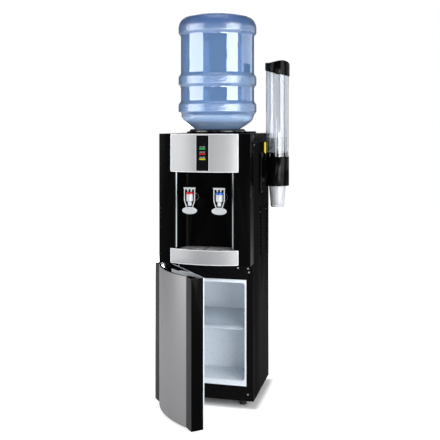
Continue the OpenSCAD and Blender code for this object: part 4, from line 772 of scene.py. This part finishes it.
dark = add(door_black, "Mix", {0: brow.outputs[0], 6: linear("#040405"), 7: linear("#3a3a3b")},
           data_type="RGBA")
dark = add(door_black, "Mix", {0: lid.outputs[0], 6: dark.outputs[2], 7: linear("#84888c")},
           data_type="RGBA")
shader = door_nodes["Principled BSDF"].inputs
door_black.node_tree.links.new(dark.outputs[2], shader["Base Color"])
door_black.node_tree.links.new(lid.outputs[0], shader["Metallic"])

door_r, inner_r, bracket_r = 1.2, 0.9, 0.5
rounded("door_shell", "door_moulding", door_r, "door", "black_plastic", door_black)
sheet_half, sheet_y, sheet_t, sheet_edge, sheet_proud = 115, -185, 1.4, 0.5, 0.1
sheet = bowed(sheet_half, door_low, door_high, sheet_t, sheet_edge, proud=sheet_proud,
              chord=2 * sheet_half, base=sheet_y)
put(made("door_front_sheet", opened(sheet)), "door", "door_grey", door_paint, "door_panel")
rounded("door_liner", "door_inner_tray", inner_r, "door", "white_plastic", liner_white)
seal_grey = finish("grey_vinyl_seal", "#c6d2d8", 0.5, 1.0, 0.03)
seal_half, seal_low, seal_high, seal_y = 139, 29.8, 450, -143
seal_corner, seal_step = 8, 5
seal_path = box_line((-seal_half, seal_low), (seal_half, seal_high), seal_corner)
seal_path = np.insert(spaced(seal_path, seal_step), 1, seal_y, axis=-1)
bellows = [(6, -0.4), (6, 1.2), (4.4, 1.6), (5.2, 2.9), (5.6, 4), (4, 4.7)]
bellows = [*((-across, rise) for across, rise in bellows), *bellows[::-1]]
bellows = eased(bellows, reach=0.5, closed=True, steps=4)
seal = made("bellows_seal", opened(swept(seal_path, (0, 1, 0), bellows, closed=True)))
put(seal, "door", "gasket", seal_grey, "door_gasket")
dressed(foam, "door_foam")
rounded("hinge_lower", "hinge_bracket", bracket_r, "cabinet", "zinc_steel", zinc_plate)
dressed(zinc_plate, "hinge_upper")

# Bottle: blow-moulded polycarbonate tinted blue, upside down, so that its base is the crown on
# top. The crown's band and two ribs stiffen it. The tool is blasted there and near the neck, so
# those parts glow softly, and the wall between them is clear.
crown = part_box("bottle")[1].z / mm
rib_r, wall_r, rib_h, rib_slant, bottle_t = 134.7, 126.7, 46, 10, 1.5
rib_b, rib_c, mouth_z = crown - 200.5, crown - 295, 834
arc_x, arc_z, arc_a, arc_b = 92.3, crown - 43.8, 42.4, 43.8
dish_r, dish_rim_r, dish_depth, dish_rim = 62, 80, 5, 1.2
band_end, band_slant, neck_r = 15.7, 10, 27.5


def rib(top):
    """A stiffening rib: out along a slant, down its band and in again."""
    return [(wall_r, top), (rib_r, top - rib_slant), (rib_r, top - rib_h + rib_slant),
            (wall_r, top - rib_h)]


# The outline runs from the dish in the crown over its edge, a quarter of an ellipse, down the
# ribs and the shoulder to the neck. The inner wall follows it at the wall's thickness.
quarter = np.radians(np.arange(85, -1, -5))
shoulder = [(120, 934), (84, 910.5), (39.5, 881.7), (31, 875.6), (neck_r, 863.6), (neck_r, 835)]
band_low = arc_z - band_end - band_slant
outer = np.array([(0, crown - dish_depth), (dish_r, crown - dish_depth),
                  (dish_rim_r, crown - dish_rim),
                  *zip(arc_x + arc_a * np.cos(quarter), arc_z + arc_b * np.sin(quarter)),
                  (rib_r, band_low + band_slant), (wall_r, band_low), *rib(rib_b), *rib(rib_c),
                  *shoulder])
ease = np.full(len(outer), 4.0)
ease[-len(shoulder):] = (14, 2, 4, 4, 5, 0)
outer = eased(outer, ease, steps=7)
run = np.gradient(outer, axis=0)
run /= np.linalg.norm(run, axis=1, keepdims=True)
inner = outer + bottle_t * np.stack([run[:, 1], -run[:, 0]], -1)
inner[0] = (0, outer[0, 1] - bottle_t)

# A colour ramp up the bottle holds three shares: red of blasting, green of a paler and less
# clear tint near the seat, painted light that lifts the neck where the seat shades it, and blue
# of the deep tint in the thick crown. A clear wall has soft ripples of the blown plastic, and a
# blasted one a hammered grain, drawn coarse enough to show.
ripple_w, ripple_depth, grain_w, grain_depth, deep_start = 34, 0.5, 6, 1.0, crown - 22
seat, smooth, blasted, deep = (0.1, 0.9, 0.0), (0.0, 0.0, 0.0), (1.0, 0.15, 0.0), (1.0, 0.0, 1.0)
painted_neck_light_end, blasted_start = 945, 958


def roughened(z):
    """The clear wall gives way to blasting at the lower edge of a band."""
    return [(z - 4, smooth), (z + 6, blasted)]


def cleared(z):
    """Blasting gives way to the clear wall at the upper edge of a band."""
    return [(z - 8, blasted), (z + 2, smooth)]


stops = [(painted_neck_light_end, seat), (blasted_start, blasted), *cleared(rib_c), *roughened(rib_b - rib_h),
         *cleared(rib_b), *roughened(band_low), (deep_start, deep)]
blue_bottle = bare(bpy.data.materials.new("blue_polycarbonate"))
on_shell = add(blue_bottle, "TexCoord").outputs["Object"]
height = add(blue_bottle, "SeparateXYZ", {0: on_shell}).outputs["Z"]
share = add(blue_bottle, "MapRange", {"Value": height, "From Min": mouth_z * mm,
                                      "From Max": crown * mm})
frost = add(blue_bottle, "ValToRGB", {0: share.outputs[0]})
frost.color_ramp.interpolation = "EASE"
ramp = frost.color_ramp.elements
ramp[0].color, ramp[1].color = (*seat, 1), (*deep, 1)
for at, shares in stops:
    ramp.new((at - mouth_z) / (crown - mouth_z)).color = (*shares, 1)
part = add(blue_bottle, "SeparateColor", {0: frost.outputs["Color"]})
# Green paints the neck paler and milkier: painted light against the seat's shade.
tint = add(blue_bottle, "Mix", {0: part.outputs["Green"], 6: linear("#9bb7d8"),
                                7: linear("#b0cdf2")}, data_type="RGBA")
tint = add(blue_bottle, "Mix", {0: part.outputs["Blue"], 6: tint.outputs[2],
                                7: linear("#7f9cc6")}, data_type="RGBA")
clear = add(blue_bottle, "MapRange", {"Value": part.outputs["Green"], "To Min": 0.9,
                                      "To Max": 0.25})
rough = add(blue_bottle, "MapRange", {"Value": part.outputs["Red"], "To Min": 0.04,
                                      "To Max": 0.26})
gleam = add(blue_bottle, "MapRange", {"Value": part.outputs["Red"], "To Min": 0.05,
                                      "To Max": 0.24})
hammer = add(blue_bottle, "TexNoise", {"Vector": on_shell, "Scale": 1 / (grain_w * mm),
                                       "Detail": 2.0})
dent = add(blue_bottle, "Bump", {"Height": hammer.outputs["Fac"], "Distance": grain_depth * mm,
                                 "Strength": part.outputs["Red"]})
ripple = add(blue_bottle, "TexNoise", {"Vector": on_shell, "Scale": 1 / (ripple_w * mm),
                                       "Detail": 1.5})
bump = add(blue_bottle, "Bump", {"Height": ripple.outputs["Fac"], "Distance": ripple_depth * mm,
                                 "Normal": dent.outputs["Normal"]})
shader = add(blue_bottle, "BsdfPrincipled",
             {"Base Color": tint.outputs[2], "Roughness": rough.outputs["Result"],
              "Normal": bump.outputs["Normal"], "IOR": 1.58,
              "Transmission Weight": clear.outputs["Result"], "Specular IOR Level": 0.8,
              "Coat Weight": 1.0, "Coat IOR": 1.65, "Coat Normal": bump.outputs["Normal"],
              "Coat Roughness": gleam.outputs[0]})
add(blue_bottle, "OutputMaterial", {"Surface": shader.outputs[0]})
line = np.vstack([outer, inner[::-1]])
line[:, 0] = np.maximum(line[:, 0], 0)
bottle = made("water_bottle_shell", turned(line, (0, bottle_y, 0), sides=160))
put(bottle, "water_bottle", "bottle", blue_bottle, "bottle")
cap_in, cap_lip, skirt_in, skirt_r, skirt_lip = 8.6, 28, 27.7, 30.5, 29.4
cap_low, cap_high, cap_t, cap_bevel, skirt_bevel = 832.3, 852.3, 2, 1.7, 2.3
cap_line = eased([(cap_in, cap_low), (cap_lip, cap_low), (skirt_r, cap_low + cap_bevel),
                  (skirt_r, cap_high - skirt_bevel), (skirt_lip, cap_high),
                  (skirt_in, cap_high), (skirt_in, cap_low + cap_t),
                  (cap_in, cap_low + cap_t)], reach=0.6, closed=True)
put(made("snap_cap", turned(cap_line, (0, bottle_y, 0), closed=True)), "water_bottle",
    "white_plastic", white_abs, "bottle_cap")

# Cup holder: a black bracket screwed to the side, a clear extruded tube with twelve frosted
# flutes inside it and a black wavy cap, and thin cloudy cups that hang by their rolled rims. The
# acrylic is all but clear, so that the tube shows by its edges.
bracket_edge, cap_edge = 1.2, 2.0
rounded("cup_bracket", "cup_bracket_moulding", bracket_edge, "cabinet", "black_plastic",
        gloss_black)
tube_x, tube_y, tube_in, tube_out = 209.5, -8, 37.2, 38.8
tube_low, tube_high = (corner.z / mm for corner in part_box("cup_tube"))
tube_line = eased([(tube_in, tube_low), (tube_out, tube_low), (tube_out, tube_high),
                   (tube_in, tube_high)], reach=0.4, closed=True)
clear_acrylic = finish("clear_acrylic", "#dcdfe4", 0.05, 30, 0.001, drift=0.02,
                       Transmission_Weight=1.0, IOR=1.49, Specular_IOR_Level=0.15)
put(made("clear_tube", turned(tube_line, (tube_x, tube_y, 0), sides=96, closed=True)), "cabinet",
    "clear_tube", clear_acrylic, "cup_tube")
frosted_acrylic = finish("frosted_acrylic", "#f2f3f6", 0.3, 2.0, 0.01, drift=0.02,
                         Transmission_Weight=0.3, IOR=1.49)
flute_count, flute_r, flute_turn, flute_half, flute_rise = 12, tube_in - 0.4, -91, 1.1, 0.45
flutes = []
for angle in np.radians(flute_turn + np.arange(flute_count) * 360 / flute_count):
    out = np.array((math.cos(angle), math.sin(angle), 0))
    low_end, high_end = (flute_r * out + (tube_x, tube_y, z) for z in (tube_low, tube_high))
    flutes.append(swept(np.linspace(low_end, high_end, 6), out, oval(flute_half, flute_rise)))
put(made("tube_flutes", *flutes), "cabinet", "clear_tube", frosted_acrylic)
rounded("cup_cap", "tube_cap_moulding", cap_edge, "tube_cap", "black_plastic", gloss_black)
cup_h, cup_t, cup_pitch, cup_count = 138, 0.6, 10.7, 9
cup_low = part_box("lowest_cup")[0].z / mm
dimple, dimple_r, foot_in, foot_out = 3, 19, 20.4, 22.2
ledge_z, ledge_r = 13, 23.2
brim_z, brim_r, lip_z, lip_r = 128, 33.4, 134, 34
curl_r, curl_low, curl_high = 35, cup_h - 2.6, cup_h - 0.6
cup_line = eased([(0, dimple), (dimple_r, dimple), (foot_in, 0), (foot_out, 0),
                  (ledge_r + 0.4, ledge_z - 1), (ledge_r, ledge_z), (brim_r, brim_z),
                  (lip_r, lip_z), (curl_r, curl_low), (curl_r, curl_high),
                  (lip_r - 0.2, cup_h), (lip_r - 0.8, cup_h - 1.4), (brim_r - cup_t, brim_z),
                  (ledge_r - cup_t, ledge_z), (ledge_r - 0.3, ledge_z - 1),
                  (foot_out - cup_t, dimple + cup_t), (0, dimple + cup_t)], reach=0.7)
thin_cup = finish("thin_polypropylene", "#dfe1e5", 0.1, 4.0, 0.02, drift=0.02,
                  Transmission_Weight=0.5, IOR=1.49)
stack = [turned(cup_line, (tube_x, tube_y, cup_low + cup_pitch * (i + 1)), sides=48)
         for i in range(cup_count)]
put(made("cup_pile", *stack), "cabinet", "cups", thin_cup, "cup_stack")
put(made("bottom_cup", turned(cup_line, (tube_x, tube_y, cup_low))), "cup", "cups", thin_cup,
    "lowest_cup")

# Condenser: steel tube bent to and fro on the back, with upright wires welded across it and
# four straps, all dipped in black paint, which runs smooth over the wires. The compressor has
# the same paint and stands on rubber mounts.
black_dip = finish("black_dip_paint", "#1c1c1c", 0.4, 1.2, 0.04, Specular_IOR_Level=0.3)
coil_x, coil_y, coil_low, coil_pitch, coil_rows = 110, 152, 240, 32, 7
coil_r, coil_bend, inlet_y, inlet_z = 3, 15.5, 128.5, 155
wire_x, wire_count, wire_r, wire_over = 94, 11, 0.9, 16
strap_x, strap_half, strap_back, strap_rows, strap_t = 61, 6, 138, (1, 5), 3
coil_high = coil_low + (coil_rows - 1) * coil_pitch
corners = [(coil_x, inlet_y, inlet_z), (coil_x, coil_y, inlet_z)]
for row in range(coil_rows):
    side = 1 if row % 2 == 0 else -1
    z = coil_low + row * coil_pitch
    corners += [(side * coil_x, coil_y, z), (-side * coil_x, coil_y, z)]
askew = (0.35, 0.8, 0.45)  # a normal that no stretch of tube or wire runs along
rods = [swept(eased(corners, coil_bend, steps=8), askew, oval(coil_r, coil_r, count=16))]
for x in np.linspace(-wire_x, wire_x, wire_count):
    wire = np.linspace((x, coil_y + coil_r, coil_low - wire_over),
                       (x, coil_y + coil_r, coil_high + wire_over), 4)
    rods.append(swept(wire, askew, oval(wire_r, wire_r, count=8)))
for side in (-1, 1):
    for row in strap_rows:
        z = coil_low + row * coil_pitch
        strap = box_line((side * strap_x - strap_half, strap_back),
                         (side * strap_x + strap_half, coil_y), reach=1)
        rods.append(slab(strap, z - strap_t / 2, z + strap_t / 2, edge=0.4))
put(made("wire_condenser", *rods), "cabinet", "dark_steel", black_dip, "condenser")
dressed(black_dip, "compressor")
dressed(rubber, "compressor_mounts")

# Switches and fittings at the back: black snap-in frames with two shiny rockers, one red and
# one green, a cable gland and a drain stub, all injection-moulded.
fitting_r, rocker_r = 0.5, 0.6
rounded("switch_housings", "switch_frames", fitting_r, "cabinet", "black_plastic", satin_black)
red_rocker = finish("red_rocker_abs", "#a81414", 0.3, 1.5, 0.02)
green_rocker = finish("green_rocker_abs", "#1c7a34", 0.3, 1.5, 0.02)
rounded("hot_switch", "red_rocker", rocker_r, "hot_rocker", "red_plastic", red_rocker)
rounded("cold_switch", "green_rocker", rocker_r, "cold_rocker", "green_plastic", green_rocker)
rounded("rear_fittings", "gland_and_drain", fitting_r, "cabinet", "black_plastic", satin_black)

# Water and cooling system, hidden inside: brushed stainless tanks in black rubber foam, which
# stays dark behind the louvres, milky silicone hoses, bright drawn copper tubes, the cold plate
# behind the fridge and the green circuit board.
stainless = finish("brushed_stainless", "#b9bbbd", 0.3, 0.7, 0.01, Metallic=1.0)
black_foam = finish("black_rubber_foam", "#0c0c0c", 0.9, 1.5, 0.3)
silicone = finish("silicone_hose", "#dfe4e6", 0.4, 1.0, 0.02, Transmission_Weight=0.3)
copper = finish("drawn_copper", "#c07a4c", 0.28, 1.0, 0.01, Metallic=1.0)
board = finish("glass_fibre_board", "#20603a", 0.45, 0.8, 0.03)
dressed(stainless, "cold_tank", "hot_tank", "evaporator")
dressed(black_foam, "cold_tank_foam", "hot_tank_jacket")
dressed(silicone, "water_tubes")
dressed(copper, "copper_pipes")
dressed(board, "control_board")
